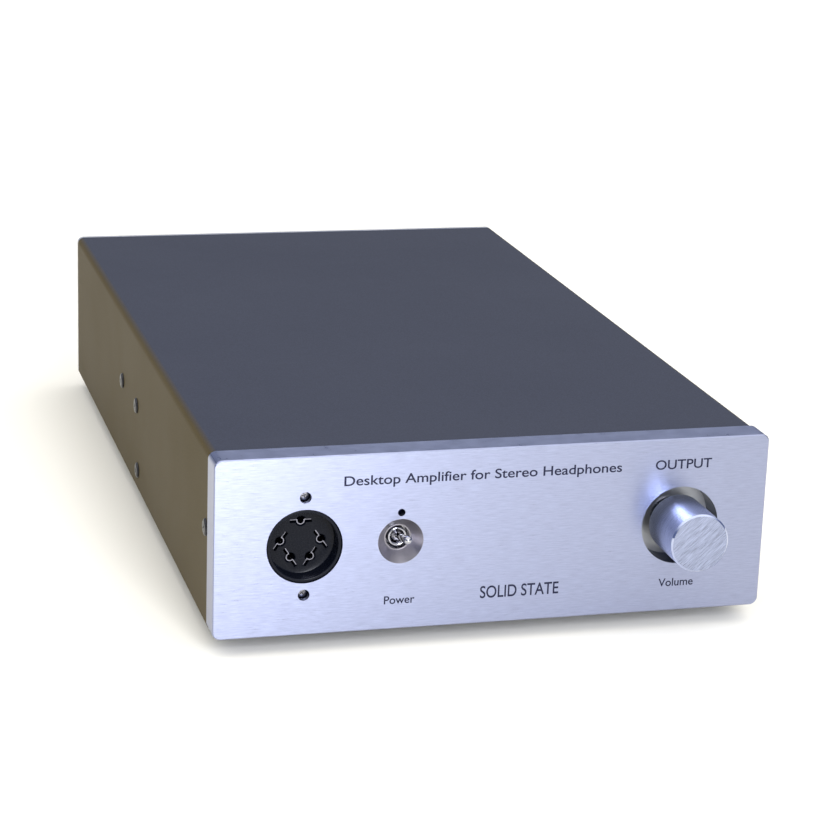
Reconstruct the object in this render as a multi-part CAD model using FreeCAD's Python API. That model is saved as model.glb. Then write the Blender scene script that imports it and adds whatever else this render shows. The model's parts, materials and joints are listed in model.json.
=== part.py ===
import FreeCAD, Part
import math
import os

V = FreeCAD.Vector

# Frame: X to the right, Y towards the back, Z up, millimetres. The origin is on the
# surface that the feet stand on, under the middle of the whole outline.

# ---------------------------------------------------------------- driving dimensions
# Case
PANEL_WIDTH = 180.0        # front panel
PANEL_HEIGHT = 58.0
PANEL_THICK = 10.0
PANEL_CORNER = 2.5
PANEL_EDGE = 0.35          # broken edge round the face
CASE_LENGTH = 298.0        # behind the front panel, rear panel included
CASE_INSET = 0.5           # the case stands back from the panel's outline
SHEET = 1.5                # folded steel of the chassis
SHEET_GAP = 0.1            # chassis to cover
FLANGE_HEIGHT = 14.0       # side flanges and rear lip
FRONT_TAB = 12.0           # depth of the tabs behind the front upstand
FRONT_TAB_RISE = 12.0      # tabs' top above the line of the controls
REAR_TAB = 12.0            # width of the tabs behind the rear panel
COVER_THICK = 1.2
COVER_BEND = 2.7           # outside radius of the cover's bends
REAR_THICK = 2.0

# Screws: radius of each thread size, and its clearances
M2, M3, M4, M6 = 1.0, 1.5, 2.0, 3.0
SCREW_FIT = 0.05           # thread to hole, radial
SCREW_FREE = 0.2           # shank to clearance hole, radial
SCREW_PAST = 0.6           # end of a through screw beyond its nut or sheet
M2_NUT = (4.0, 1.6)        # across flats, thickness
M3_NUT = (5.5, 2.4)
M6_NUT = (10.0, 4.0)
M6_HEAD = 3.0
PANEL_SCREW_BITE = 6.5     # depth of the threaded holes in the panel's back
PANEL_SCREW_INSET = 9.0    # from the chassis side and from the panel's edge
COVER_SCREW_RISE = 3.0     # front cover screws above the line of the controls
COVER_SCREW_IN = 3.1       # and behind the chassis upstand
LOW_SCREW_AHEAD = 52.0     # low cover screws ahead of the board's rear edge
COVER_SCREW_PAST = 1.5     # end of a cover screw inside the chassis flange

# Feet
FOOT_HEIGHT = 6.5
FOOT_RADIUS = 8.0
FOOT_TAPER = 1.0
FOOT_INSET = 22.0          # foot centre in from the case's sides and ends
FOOT_WELL = 3.4            # radius of the well for the screw's head
FOOT_WELL_DEPTH = 3.5

# Controls on the front panel
SOCKET_INSET = 28.5        # socket centre in from the panel's left edge
SOCKET_TO_TOGGLE = 30.5
KNOB_INSET = 28.8          # knob centre in from the panel's right edge
LED_RISE = 9.4             # indicator above the line of the controls

# Volume knob and potentiometer
KNOB_RADIUS = 9.5
KNOB_GAP = 3.4             # knob to the wall of the panel's hole
KNOB_OUT = 18.0            # knob's face in front of the panel
KNOB_IN = 2.6              # knob's back inside the panel's hole
KNOB_EDGE = 0.5
KNOB_SKIRT = 1.6           # wall round the hollow in the knob's back
KNOB_HOLLOW = 3.0
KNOB_GRIP = 13.0           # length of shaft inside the knob
KNOB_SHAFT_FIT = 0.02
GRUB_LENGTH = 4.0
GRUB_DRIVE = (1.5, 1.5)    # across flats, depth
SHAFT_RADIUS = 3.0
SHAFT_FIT = 0.04           # radial running clearance
POT_BUSHING_RADIUS = 4.0
POT_BUSHING_OUT = 7.0      # in front of the chassis upstand
POT_NUT = (11.0, 2.2)
POT_WASHER_RADIUS = 6.5
POT_WASHER_THICK = 0.6
POT_SIZE = 27.0
POT_DEPTH = 26.0
POT_CORNER = 2.0
POT_WALL = 3.0             # front wall of the body, ahead of the wiper's chamber
POT_PLAY = 0.3             # wiper disc to its chamber
POT_DISC = 3.0
POT_DISC_RADIUS = 9.0
POT_PIN = (1.0, 0.8, 4.0)

# Power switch
DISH_RADIUS = 7.25         # turned dish round the toggle lever
DISH_DEPTH = 4.0
DISH_LAND = 1.15           # flat floor of the dish round the bushing
TOGGLE_BUSHING_RADIUS = 3.15
TOGGLE_MOUTH_SETBACK = 0.2 # bushing's mouth behind the dish's floor
TOGGLE_LIP = 0.35          # wall at the flared mouth
TOGGLE_FLARE = 1.0         # depth of the flare
TOGGLE_HOLE_GAP = 0.75     # bushing to the panel's hole
TOGGLE_NUT_WALL = 0.85
TOGGLE_NUT_THICK = 1.8
TOGGLE_NUT_ROOM = 1.0      # round and ahead of the nut, in the panel's back
TOGGLE_BODY = (7.0, 10.0, 13.0)
TOGGLE_SLOT = 3.0          # width of the slot for the lever's tail
TOGGLE_LUG = (0.8, 4.0, 2.0)
TOGGLE_LUG_PITCH = 4.7
TOGGLE_LUG_HOLE = 0.5
TOGGLE_BALL = 1.9
TOGGLE_BALL_GAP = 0.2      # ball to the bushing's throat
TOGGLE_PIN = 0.45          # cross pin through the ball
TOGGLE_PIN_FIT = 0.04
TOGGLE_PIN_BITE = 0.6      # cross pin's ends inside the bushing's wall
TOGGLE_TIP = 1.35
TOGGLE_SHOULDER = 1.24     # lever's radius just behind the tip
TOGGLE_NECK = 0.85
TOGGLE_REACH = 14.6        # pivot to the middle of the tip
TOGGLE_TAIL = 3.4          # lever behind the pivot
TOGGLE_TILT = 12.5         # degrees each side of level
TOGGLE_PIVOT_IN = 2.0      # pivot behind the bushing's mouth

# Indicator
LED_RADIUS = 1.5
LED_WINDOW = 1.2
LED_WINDOW_DEPTH = 3.0
LED_LENGTH = 4.5
LED_NOSE = 1.2
LED_FREE = 0.6             # indicator to the chassis hole
LED_LEAD = 0.5
LED_LEAD_PITCH = 1.6
LED_LEAD_LENGTH = 14.0

# Headphone socket
SOCKET_RADIUS = 11.8
SOCKET_FIT = 0.2
SOCKET_RIM = 1.1           # wall of the collar round the recess
SOCKET_RECESS = 6.0
SOCKET_SETBACK = 0.3       # rim behind the panel's face
SOCKET_FLANGE = 2.2
SOCKET_FLANGE_END = 4.0    # flange beyond its screws, and its corners
SOCKET_DEPTH = 13.0        # body behind the chassis upstand
SOCKET_SCREW_OUT = 4.05    # screw's axis beyond the barrel
SOCKET_HEAD = (1.7, 1.6)   # radius, height
SOCKET_HEAD_GAP = 0.15     # head to its hole
SOCKET_HEAD_SEAT = 4.2     # depth of the head's seat below the panel's face
SOCKET_DRIVE_DEPTH = 0.8
PIN_CIRCLE = 6.35
PIN_HOLE = 1.55
PIN_DEPTH = 9.0
SLOT_LENGTH = 7.0
SLOT_WIDTH = 1.1
LEAF_THICK = 0.35
LEAF_FIT = 0.12
LEAF_SETBACK = 0.6
TAG = (1.8, 5.0, 0.5)
# (place round the circle, direction of the slot), degrees, seen from the front
PINS = ((90, 0), (180, 55), (240, 123), (300, 57), (0, 125))

# Mains inlet
INLET_FROM_EDGE = 38.0     # inlet centre in from the case's left side
INLET_OPENING = (24.4, 16.6)
INLET_CORNER = 5.0         # cut corners of the opening
INLET_WALL = 1.5
INLET_FLANGE = (49.0, 23.0, 3.0)
INLET_FLANGE_CORNER = 3.0
INLET_DEPTH = 20.0
INLET_CAVITY = 15.5
INLET_SCREW_PITCH = 40.0
INLET_PIN = (2.0, 4.0)
INLET_PIN_PITCH = 7.0
INLET_PIN_STEP = 2.0       # live and neutral below the middle, earth above it
INLET_PIN_OUT = 1.0        # pins' ends beyond the rear panel
INLET_TAG = 6.0            # pins behind the moulding

# Signal jacks and earth terminal
PHONO_FROM_EDGE = 22.0     # last jack in from the case's right side
PHONO_SPACING = 18.0
PHONO_COUNT = 4
PHONO_RADIUS = 4.15
PHONO_OUT = 10.0           # barrels behind the rear panel
PHONO_WALL = 0.85
PHONO_THREAD_STEP = 0.35   # thread stands proud of the barrel, so that the nut passes
PHONO_COLLAR = (1.35, 2.0) # beyond the barrel, thickness
PHONO_NUT_WALL = 1.0       # beyond the thread, at the flats
PHONO_NUT_THICK = 2.2
PHONO_INSERT_SETBACK = 0.8
PHONO_PIN_BORE = 1.65
PHONO_PIN_DEPTH = 15.2
PHONO_DEPTH = 9.0          # jack behind the rear panel's inner face
PHONO_CONTACT = 1.15
PHONO_CONTACT_TAIL = 5.0
GROUND_GAP = 2.0           # earth terminal's nut above the last jack's nut
GROUND_STUD = 8.0
GROUND_HEAD = (4.0, 2.0)
GROUND_NUT = (4.5, 6.0)
GROUND_FLUTE = 0.6
GROUND_FLUTES = 12

# Transformer
CORE_FROM_EDGE = 63.5      # transformer axis in from the case's left side
CORE_RADIUS = 36.0
CORE_HOLE = 12.0
CORE_HEIGHT = 32.0
CORE_ROUND = 6.0
CORE_GAP = 4.0             # winding to the board
CONNECTOR_ZONE = 30.0      # winding to the rear panel
PAD_THICK = 1.5
CLAMP_THICK = 2.0

# Circuit board and what stands on it
BOARD_THICK = 1.6
BOARD_LIFT = 8.0
BOARD_MARGIN = 6.0         # board in from the chassis flanges
BOARD_START = 40.0         # behind the front panel
BOARD_INSET = 5.0          # standoff centre in from the board's edges
MID_STANDOFF_AHEAD = 12.0  # middle standoffs ahead of the heatsinks
CAN_COUNT = 4
CAN_RADIUS = 11.0
CAN_HEIGHT = 30.0
CAN_GAP = 3.0
CAN_EDGE = 9.0             # cans to the board's rear edge
CAN_ROUND = 1.0
FILM_COUNT = 4
FILM_BLOCK = (8.0, 18.0, 15.0)
FILM_GAP = 12.0
FILM_START = 14.0          # behind the board's front edge
RELAY = (16.0, 11.0, 12.0)
RELAY_GAP = 4.0
RELAY_BEHIND = 6.0         # relays behind the film capacitors
RELAY_X = -24.0            # middle of the pair
BRIDGE = (24.0, 4.0, 15.0)
BRIDGE_GAP = 4.0           # rectifier to the cans

# Heatsinks and output transistors
SINK_LENGTH = 60.0
SINK_HEIGHT = 26.0
SINK_THICK = 12.0
SINK_SCREW_PITCH = 33.0
SINK_TAP = 7.0             # depth of the threaded holes in the outer face
SINK_INNER_TAP = 6.0       # and in the inner face
SINK_END_GAP = 3.0         # heatsink's end in from the board's end
SINK_OVER_FLANGE = 3.5     # heatsink's underside above the chassis flange
SLOT_COUNT = 5
SINK_SLOT = (5.0, 3.0, 9.0)
TRANSISTOR = (10.0, 4.5, 15.0)
TRANSISTOR_RAISE = 3.0
TRANSISTOR_HOLE_DOWN = 3.0 # screw below the package's top
LEG = 0.7
LEG_PITCH = 2.54
LEG_HOLE = 0.6
LEG_PAST = 1.5             # legs' ends below the board

# Held leads
PAIR = 1.6                 # radius of a two-core lead
LEAD_OFF_WALL = 0.6
LEAD_OFF_FLOOR = 1.0

# ---------------------------------------------------------------- derived positions
FACE_Y = KNOB_OUT - (KNOB_OUT + PANEL_THICK + CASE_LENGTH + PHONO_OUT) / 2
CASE_Y = FACE_Y + PANEL_THICK
REAR_Y = CASE_Y + CASE_LENGTH
UPSTAND_Y = CASE_Y + SHEET
REAR_INNER_Y = REAR_Y - REAR_THICK
LIP_Y = REAR_INNER_Y - SHEET
BASE_Z = FOOT_HEIGHT
FLOOR_Z = BASE_Z + SHEET
LIP_Z = BASE_Z + FLANGE_HEIGHT
PANEL_Z = BASE_Z - CASE_INSET
CONTROL_Z = PANEL_Z + PANEL_HEIGHT / 2
COVER_TOP = PANEL_Z + PANEL_HEIGHT - CASE_INSET
CEILING_Z = COVER_TOP - COVER_THICK
CHASSIS_TOP = CEILING_Z - SHEET_GAP
CASE_HALF = PANEL_WIDTH / 2 - CASE_INSET
WALL_HALF = CASE_HALF - COVER_THICK
CHASSIS_HALF = WALL_HALF - SHEET_GAP

SOCKET_X = SOCKET_INSET - PANEL_WIDTH / 2
SOCKET_FACE_Y = FACE_Y + SOCKET_RECESS
SOCKET_SCREWS = [(SOCKET_X, CONTROL_Z + side * (SOCKET_RADIUS + SOCKET_SCREW_OUT))
                 for side in (-1, 1)]
KNOB_X = PANEL_WIDTH / 2 - KNOB_INSET
KNOB_BACK_Y = FACE_Y + KNOB_IN
KNOB_BORE_Y = KNOB_BACK_Y - KNOB_HOLLOW - KNOB_GRIP
GRUB_Y = KNOB_BORE_Y + KNOB_GRIP / 2
DISC_Y = UPSTAND_Y + POT_WALL + POT_PLAY
TOGGLE_X = SOCKET_X + SOCKET_TO_TOGGLE
TOGGLE_MOUTH_Y = FACE_Y + DISH_DEPTH + TOGGLE_MOUTH_SETBACK
TOGGLE_PIVOT = V(TOGGLE_X, TOGGLE_MOUTH_Y + TOGGLE_PIVOT_IN, CONTROL_Z)
TOGGLE_THROAT = TOGGLE_BALL + TOGGLE_BALL_GAP
TOGGLE_NUT_FLATS = 2 * (TOGGLE_BUSHING_RADIUS + TOGGLE_NUT_WALL)
LED_Y = FACE_Y + LED_WINDOW_DEPTH
LED_Z = CONTROL_Z + LED_RISE

INLET_X = INLET_FROM_EDGE - CASE_HALF
INLET_BACK_Y = REAR_Y - INLET_DEPTH
INLET_FACE_Y = REAR_Y + INLET_FLANGE[2]
INLET_SCREWS = [INLET_X + side * INLET_SCREW_PITCH / 2 for side in (-1, 1)]
PHONO_XS = [CASE_HALF - PHONO_FROM_EDGE - PHONO_SPACING * i for i in range(PHONO_COUNT)]
PHONO_THREAD = PHONO_RADIUS + PHONO_THREAD_STEP
PHONO_BORE = PHONO_RADIUS - PHONO_WALL
PHONO_END_Y = REAR_Y + PHONO_OUT
PHONO_COLLAR_Y = REAR_INNER_Y - PHONO_COLLAR[1]
PHONO_BACK_Y = REAR_INNER_Y - PHONO_DEPTH
PHONO_PIN_Y = PHONO_END_Y - PHONO_INSERT_SETBACK - PHONO_PIN_DEPTH
PHONO_NUT_FLATS = 2 * (PHONO_THREAD + PHONO_NUT_WALL)
GROUND_X = PHONO_XS[-1]
GROUND_Z = CONTROL_Z + PHONO_NUT_FLATS / math.sqrt(3) + GROUND_GAP + GROUND_NUT[0]

CORE_X = CORE_FROM_EDGE - CASE_HALF
CORE_Y = REAR_INNER_Y - CONNECTOR_ZONE - CORE_RADIUS
CORE_Z = FLOOR_Z + PAD_THICK
CLAMP_Z = CORE_Z + CORE_HEIGHT + PAD_THICK
BOARD_HALF = CHASSIS_HALF - SHEET - BOARD_MARGIN
BOARD_Y0 = CASE_Y + BOARD_START
BOARD_Y1 = CORE_Y - CORE_RADIUS - CORE_GAP
BOARD_Z = FLOOR_Z + BOARD_LIFT
BOARD_TOP = BOARD_Z + BOARD_THICK
CAN_Y = BOARD_Y1 - CAN_EDGE - CAN_RADIUS
SINK_Y = BOARD_Y1 - SINK_END_GAP - SINK_LENGTH / 2
SINK_START_Y = SINK_Y - SINK_LENGTH / 2
SINK_Z = LIP_Z + SINK_OVER_FLANGE
SINK_MIDDLE_Z = SINK_Z + SINK_HEIGHT / 2
PACKAGE_Z = SINK_Z + TRANSISTOR_RAISE
PACKAGE_SCREW_Z = PACKAGE_Z + TRANSISTOR[2] - TRANSISTOR_HOLE_DOWN
COVER_SCREWS = [(UPSTAND_Y + COVER_SCREW_IN, CONTROL_Z + COVER_SCREW_RISE),
                (BOARD_Y1 - LOW_SCREW_AHEAD, BASE_Z + FLANGE_HEIGHT / 2)]
SINK_SCREWS = [(SINK_Y + side * SINK_SCREW_PITCH / 2, SINK_MIDDLE_Z) for side in (-1, 1)]


# ---------------------------------------------------------------- helpers
def box(x0, x1, y0, y1, z0, z1):
    return Part.makeBox(x1 - x0, y1 - y0, z1 - z0, V(x0, y0, z0))


def block(x, y0, z, size):
    """A box centred on x and z, from y0 backwards; size is width, depth, height."""
    width, depth, height = size
    return box(x - width / 2, x + width / 2, y0, y0 + depth, z - height / 2, z + height / 2)


def standing(x, y, z0, size):
    """A box centred on x and y, standing on z0; size is width, depth, height."""
    width, depth, height = size
    return box(x - width / 2, x + width / 2, y - depth / 2, y + depth / 2, z0, z0 + height)


def between(side, outer, inner, y0, y1, z0, z1):
    """A box on the left (-1) or right (1), between two distances from the middle plane."""
    x0, x1 = sorted((side * outer, side * inner))
    return box(x0, x1, y0, y1, z0, z1)


def rod_x(y, z, radius, x0, x1):
    low, high = sorted((x0, x1))
    return Part.makeCylinder(radius, high - low, V(low, y, z), V(1, 0, 0))


def rod_y(x, z, radius, y0, y1):
    return Part.makeCylinder(radius, y1 - y0, V(x, y0, z), V(0, 1, 0))


def rod_z(x, y, radius, z0, z1):
    return Part.makeCylinder(radius, z1 - z0, V(x, y, z0), V(0, 0, 1))


def aim(shape, point, axis):
    """A copy of a shape made along +Z from the origin, moved to a point and turned to an axis."""
    turned = shape.copy()
    turned.Placement = FreeCAD.Placement(V(*point), FreeCAD.Rotation(V(0, 0, 1), V(*axis)))
    return turned


def group(shapes):
    return Part.makeCompound(list(shapes))


def fuse(shapes):
    return shapes[0].fuse(shapes[1:]).removeSplitter()


def cut(shape, tools):
    return shape.cut(group(tools))


def edges_along_y(shape, test=lambda middle: True):
    """Straight edges parallel to Y whose middles pass a test."""
    found = []
    for edge in shape.Edges:
        if edge.Curve.TypeId != "Part::GeomLine":
            continue
        if abs(edge.tangentAt(edge.FirstParameter).y) > 0.999 and test(edge.CenterOfMass):
            found.append(edge)
    return found


def round_ends(shape, radius):
    return shape.makeFillet(radius, edges_along_y(shape))


def round_top(shape, radius):
    """Round the two upper edges that run from front to back."""
    return shape.makeFillet(radius, edges_along_y(shape, lambda middle: middle.z > CONTROL_Z))


def hexagon(flats, height):
    """A hexagonal prism on the origin, along +Z."""
    radius = flats / math.sqrt(3)
    corners = [V(radius * math.cos(a), radius * math.sin(a), 0)
               for a in (math.radians(60 * i) for i in range(7))]
    return Part.Face(Part.makePolygon(corners)).extrude(V(0, 0, height))


# ---------------------------------------------------------------- screws and nuts
def cross_recess(radius, depth, top):
    """The cross-shaped drive hole in a screw's head, opening at the given height."""
    blade = radius * 0.29
    bars = [standing(0, 0, top - depth, (2 * radius, blade, depth)),
            standing(0, 0, top - depth, (blade, 2 * radius, depth))]
    return fuse(bars)


def with_shank(head, radius, length):
    return fuse([head, Part.makeCylinder(radius - SCREW_FIT, length, V(0, 0, -length))])


def pan_screw(radius, length):
    """Cross-head machine screw: domed head above the origin, shank below it."""
    head_radius = radius * 1.9
    head_height = radius * 1.1
    head = Part.makeCylinder(head_radius, head_height)
    rim = [e for e in head.Edges if e.BoundBox.ZMin > head_height / 2]
    head = head.makeFillet(head_height * 0.7, rim)
    head = head.cut(cross_recess(head_radius * 0.56, head_height * 0.6, head_height))
    return with_shank(head, radius, length)


def low_screw(radius, length):
    """Cross-head screw with a wide, flat, slightly crowned head."""
    head_radius = radius * 1.85
    head_height = radius * 0.6
    head = Part.makeCone(head_radius, head_radius * 0.75, head_height)
    head = head.cut(cross_recess(head_radius * 0.54, head_height * 0.8, head_height))
    return with_shank(head, radius, length)


def hex_nut(radius, size):
    """A nut above the origin, along +Z; size is across flats and thickness."""
    flats, thick = size
    return hexagon(flats, thick).cut(Part.makeCylinder(radius, thick))


# ---------------------------------------------------------------- case
def panel_screw_places():
    """Four screws from behind, clear of the controls, near the panel's corners."""
    x = CHASSIS_HALF - PANEL_SCREW_INSET
    z = PANEL_HEIGHT / 2 - PANEL_SCREW_INSET
    return [(sx * x, CONTROL_Z + sz * z) for sx in (-1, 1) for sz in (-1, 1)]


def toggle_openings():
    """Dish, hole and nut room for the power switch, all through the panel."""
    dish = Part.makeCone(DISH_RADIUS, TOGGLE_BUSHING_RADIUS + DISH_LAND, DISH_DEPTH,
                         V(TOGGLE_X, FACE_Y, CONTROL_Z), V(0, 1, 0))
    hole = rod_y(TOGGLE_X, CONTROL_Z, TOGGLE_BUSHING_RADIUS + TOGGLE_HOLE_GAP, FACE_Y, CASE_Y)
    room = rod_y(TOGGLE_X, CONTROL_Z, TOGGLE_NUT_FLATS / math.sqrt(3) + TOGGLE_NUT_ROOM,
                 CASE_Y - TOGGLE_NUT_THICK - TOGGLE_NUT_ROOM, CASE_Y)
    return [dish, hole, room]


def front_panel():
    plate = block(0, FACE_Y, CONTROL_Z, (PANEL_WIDTH, PANEL_THICK, PANEL_HEIGHT))
    plate = round_ends(plate, PANEL_CORNER)
    rim = [e for e in plate.Edges if e.BoundBox.YMax < FACE_Y + PANEL_EDGE]
    plate = plate.makeChamfer(PANEL_EDGE, rim)
    holes = toggle_openings()
    holes.append(rod_y(SOCKET_X, CONTROL_Z, SOCKET_RADIUS + SOCKET_FIT, FACE_Y, CASE_Y))
    holes.append(rod_y(KNOB_X, CONTROL_Z, KNOB_RADIUS + KNOB_GAP, FACE_Y, CASE_Y))
    for x, z in SOCKET_SCREWS:
        head_radius = SOCKET_HEAD[0] + SOCKET_HEAD_GAP
        holes.append(rod_y(x, z, head_radius, FACE_Y, FACE_Y + SOCKET_HEAD_SEAT))
        holes.append(rod_y(x, z, M2 + SCREW_FREE, FACE_Y, CASE_Y))
    holes.append(rod_y(TOGGLE_X, LED_Z, LED_WINDOW, FACE_Y, LED_Y))
    holes.append(rod_y(TOGGLE_X, LED_Z, LED_RADIUS + SCREW_FIT, LED_Y, CASE_Y))
    for x, z in panel_screw_places():
        holes.append(rod_y(x, z, M3, CASE_Y - PANEL_SCREW_BITE, CASE_Y))
    return cut(plate, holes)


def panel_screws():
    screw = pan_screw(M3, PANEL_SCREW_BITE + SHEET - SCREW_PAST)
    return group(aim(screw, (x, UPSTAND_Y, z), (0, 1, 0)) for x, z in panel_screw_places())


def foot_places():
    x = CASE_HALF - FOOT_INSET
    return [(sx * x, y) for sx in (-1, 1) for y in (CASE_Y + FOOT_INSET, REAR_Y - FOOT_INSET)]


def chassis_sheet():
    """Floor, front upstand, rear lip, side flanges and the tabs at the four corners."""
    half = CHASSIS_HALF
    inside = half - SHEET
    upstand = round_top(box(-half, half, CASE_Y, UPSTAND_Y, BASE_Z, CHASSIS_TOP), COVER_BEND)
    sheets = [upstand, box(-half, half, CASE_Y, REAR_INNER_Y, BASE_Z, FLOOR_Z),
              box(-half, half, LIP_Y, REAR_INNER_Y, BASE_Z, LIP_Z)]
    for side in (-1, 1):
        sheets.append(between(side, half, inside, CASE_Y, REAR_INNER_Y, BASE_Z, LIP_Z))
        sheets.append(between(side, half, inside, CASE_Y, CASE_Y + FRONT_TAB,
                              BASE_Z, CONTROL_Z + FRONT_TAB_RISE))
        sheets.append(between(side, half, half - REAR_TAB, LIP_Y, REAR_INNER_Y,
                              BASE_Z, CHASSIS_TOP - COVER_BEND))
    return fuse(sheets)


def chassis():
    holes = [rod_y(SOCKET_X, CONTROL_Z, SOCKET_RADIUS + SOCKET_FIT, CASE_Y, UPSTAND_Y),
             rod_y(TOGGLE_X, CONTROL_Z, TOGGLE_BUSHING_RADIUS + SCREW_FIT, CASE_Y, UPSTAND_Y),
             rod_y(TOGGLE_X, LED_Z, LED_RADIUS + LED_FREE, CASE_Y, UPSTAND_Y),
             rod_y(KNOB_X, CONTROL_Z, POT_BUSHING_RADIUS + SCREW_FIT, CASE_Y, UPSTAND_Y),
             rod_z(CORE_X, CORE_Y, M6 + SCREW_FREE, BASE_Z, FLOOR_Z),
             inlet_outline(INLET_WALL + SCREW_FREE, LIP_Y, REAR_INNER_Y)]
    holes += [rod_y(x, z, M2 + SCREW_FREE, CASE_Y, UPSTAND_Y) for x, z in SOCKET_SCREWS]
    holes += [rod_y(x, z, M3 + SCREW_FREE, CASE_Y, UPSTAND_Y) for x, z in panel_screw_places()]
    holes += [rod_x(y, z, M3, -CHASSIS_HALF, CHASSIS_HALF) for y, z in COVER_SCREWS]
    holes += [rod_y(x, z, M3, LIP_Y, REAR_INNER_Y) for x, z in rear_screw_places()]
    holes += [rod_z(x, y, M3 + SCREW_FREE, BASE_Z, FLOOR_Z) for x, y in standoff_places()]
    holes += [rod_z(x, y, M3, BASE_Z, FLOOR_Z) for x, y in foot_places()]
    return cut(chassis_sheet(), holes)


def cover():
    """The sheet that wraps over the top and both sides, with round bends."""
    outer = box(-CASE_HALF, CASE_HALF, CASE_Y, REAR_INNER_Y, BASE_Z, COVER_TOP)
    inner = box(-WALL_HALF, WALL_HALF, CASE_Y, REAR_INNER_Y, BASE_Z, CEILING_Z)
    shell = round_top(outer, COVER_BEND).cut(round_top(inner, COVER_BEND - COVER_THICK))
    return cut(shell, [rod_x(y, z, M3 + SCREW_FREE, -CASE_HALF, CASE_HALF)
                       for y, z in COVER_SCREWS + SINK_SCREWS])


def side_screws(places, length):
    """The same screws in both sides of the cover, heads outwards."""
    screw = low_screw(M3, length)
    return group(aim(screw, (side * CASE_HALF, y, z), (side, 0, 0))
                 for y, z in places for side in (-1, 1))


def rear_screw_places():
    x = CHASSIS_HALF - REAR_TAB / 2
    low = BASE_Z + FLANGE_HEIGHT / 2
    high = CEILING_Z - COVER_BEND - FLANGE_HEIGHT / 2
    return [(sx * x, z) for sx in (-1, 1) for z in (low, high)]


def rear_panel():
    plate = box(-CASE_HALF, CASE_HALF, REAR_INNER_Y, REAR_Y, BASE_Z, COVER_TOP)
    plate = round_top(plate, COVER_BEND)
    holes = [rod_y(x, z, M3 + SCREW_FREE, REAR_INNER_Y, REAR_Y) for x, z in rear_screw_places()]
    holes += [rod_y(x, CONTROL_Z, PHONO_THREAD + SCREW_FIT, REAR_INNER_Y, REAR_Y)
              for x in PHONO_XS]
    holes.append(inlet_outline(INLET_WALL + SCREW_FREE, REAR_INNER_Y, REAR_Y))
    holes += [rod_y(x, CONTROL_Z, M3 + SCREW_FREE, REAR_INNER_Y, REAR_Y) for x in INLET_SCREWS]
    holes.append(rod_y(GROUND_X, GROUND_Z, M4, REAR_INNER_Y, REAR_Y))
    return cut(plate, holes)


def rear_panel_screws():
    screw = pan_screw(M3, REAR_THICK + SHEET + SCREW_PAST)
    return group(aim(screw, (x, REAR_Y, z), (0, 1, 0)) for x, z in rear_screw_places())


def feet():
    """Four tapered rubber feet, each with a well and a hole for the screw that holds it."""
    made = []
    for x, y in foot_places():
        foot = Part.makeCone(FOOT_RADIUS - FOOT_TAPER, FOOT_RADIUS, FOOT_HEIGHT, V(x, y, 0))
        made.append(cut(foot, [rod_z(x, y, FOOT_WELL, 0, FOOT_WELL_DEPTH),
                               rod_z(x, y, M3 + SCREW_FREE, 0, FOOT_HEIGHT)]))
    return group(made)


def foot_screws():
    screw = pan_screw(M3, FOOT_HEIGHT - FOOT_WELL_DEPTH + SHEET + SCREW_PAST)
    return group(aim(screw, (x, y, FOOT_WELL_DEPTH), (0, 0, -1)) for x, y in foot_places())


# ---------------------------------------------------------------- volume control
def volume_knob():
    """Turned knob: a straight cylinder, hollow behind, bored for the shaft."""
    body = rod_y(KNOB_X, CONTROL_Z, KNOB_RADIUS, FACE_Y - KNOB_OUT, KNOB_BACK_Y)
    rim = [e for e in body.Edges if e.Closed and e.BoundBox.YMax < FACE_Y]
    body = body.makeChamfer(KNOB_EDGE, rim)
    hollow = rod_y(KNOB_X, CONTROL_Z, KNOB_RADIUS - KNOB_SKIRT,
                   KNOB_BACK_Y - KNOB_HOLLOW, KNOB_BACK_Y)
    bore = rod_y(KNOB_X, CONTROL_Z, SHAFT_RADIUS + KNOB_SHAFT_FIT, KNOB_BORE_Y, KNOB_BACK_Y)
    grub = rod_z(KNOB_X, GRUB_Y, M3, CONTROL_Z - KNOB_RADIUS, CONTROL_Z)
    return cut(body, [hollow, bore, grub])


def knob_set_screw():
    """Socket-head grub screw that bears on the shaft from below."""
    top = CONTROL_Z - SHAFT_RADIUS
    screw = rod_z(KNOB_X, GRUB_Y, M3 - SCREW_FIT, top - GRUB_LENGTH, top)
    return screw.cut(aim(hexagon(*GRUB_DRIVE), (KNOB_X, GRUB_Y, top - GRUB_LENGTH), (0, 0, 1)))


def pot_shaft():
    """Shaft that turns in the bushing, with its wiper disc inside the body."""
    end = DISC_Y + POT_DISC
    return fuse([rod_y(KNOB_X, CONTROL_Z, SHAFT_RADIUS, KNOB_BORE_Y, end),
                 rod_y(KNOB_X, CONTROL_Z, POT_DISC_RADIUS, DISC_Y, end)])


def pot_bushing():
    start = CASE_Y - POT_BUSHING_OUT
    end = UPSTAND_Y + POT_WALL
    sleeve = rod_y(KNOB_X, CONTROL_Z, POT_BUSHING_RADIUS, start, end)
    return sleeve.cut(rod_y(KNOB_X, CONTROL_Z, SHAFT_RADIUS + SHAFT_FIT, start, end))


def pot_body():
    """Potentiometer block with a round chamber in which the wiper disc turns."""
    body = round_ends(block(KNOB_X, UPSTAND_Y, CONTROL_Z, (POT_SIZE, POT_DEPTH, POT_SIZE)),
                      POT_CORNER)
    chamber = rod_y(KNOB_X, CONTROL_Z, POT_DISC_RADIUS + POT_PLAY,
                    DISC_Y - POT_PLAY, DISC_Y + POT_DISC + POT_PLAY)
    return cut(body, [chamber, rod_y(KNOB_X, CONTROL_Z, POT_BUSHING_RADIUS, UPSTAND_Y, DISC_Y)])


def pot_washer():
    start = CASE_Y - POT_WASHER_THICK
    ring = rod_y(KNOB_X, CONTROL_Z, POT_WASHER_RADIUS, start, CASE_Y)
    return ring.cut(rod_y(KNOB_X, CONTROL_Z, POT_BUSHING_RADIUS + SCREW_FIT, start, CASE_Y))


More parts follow.
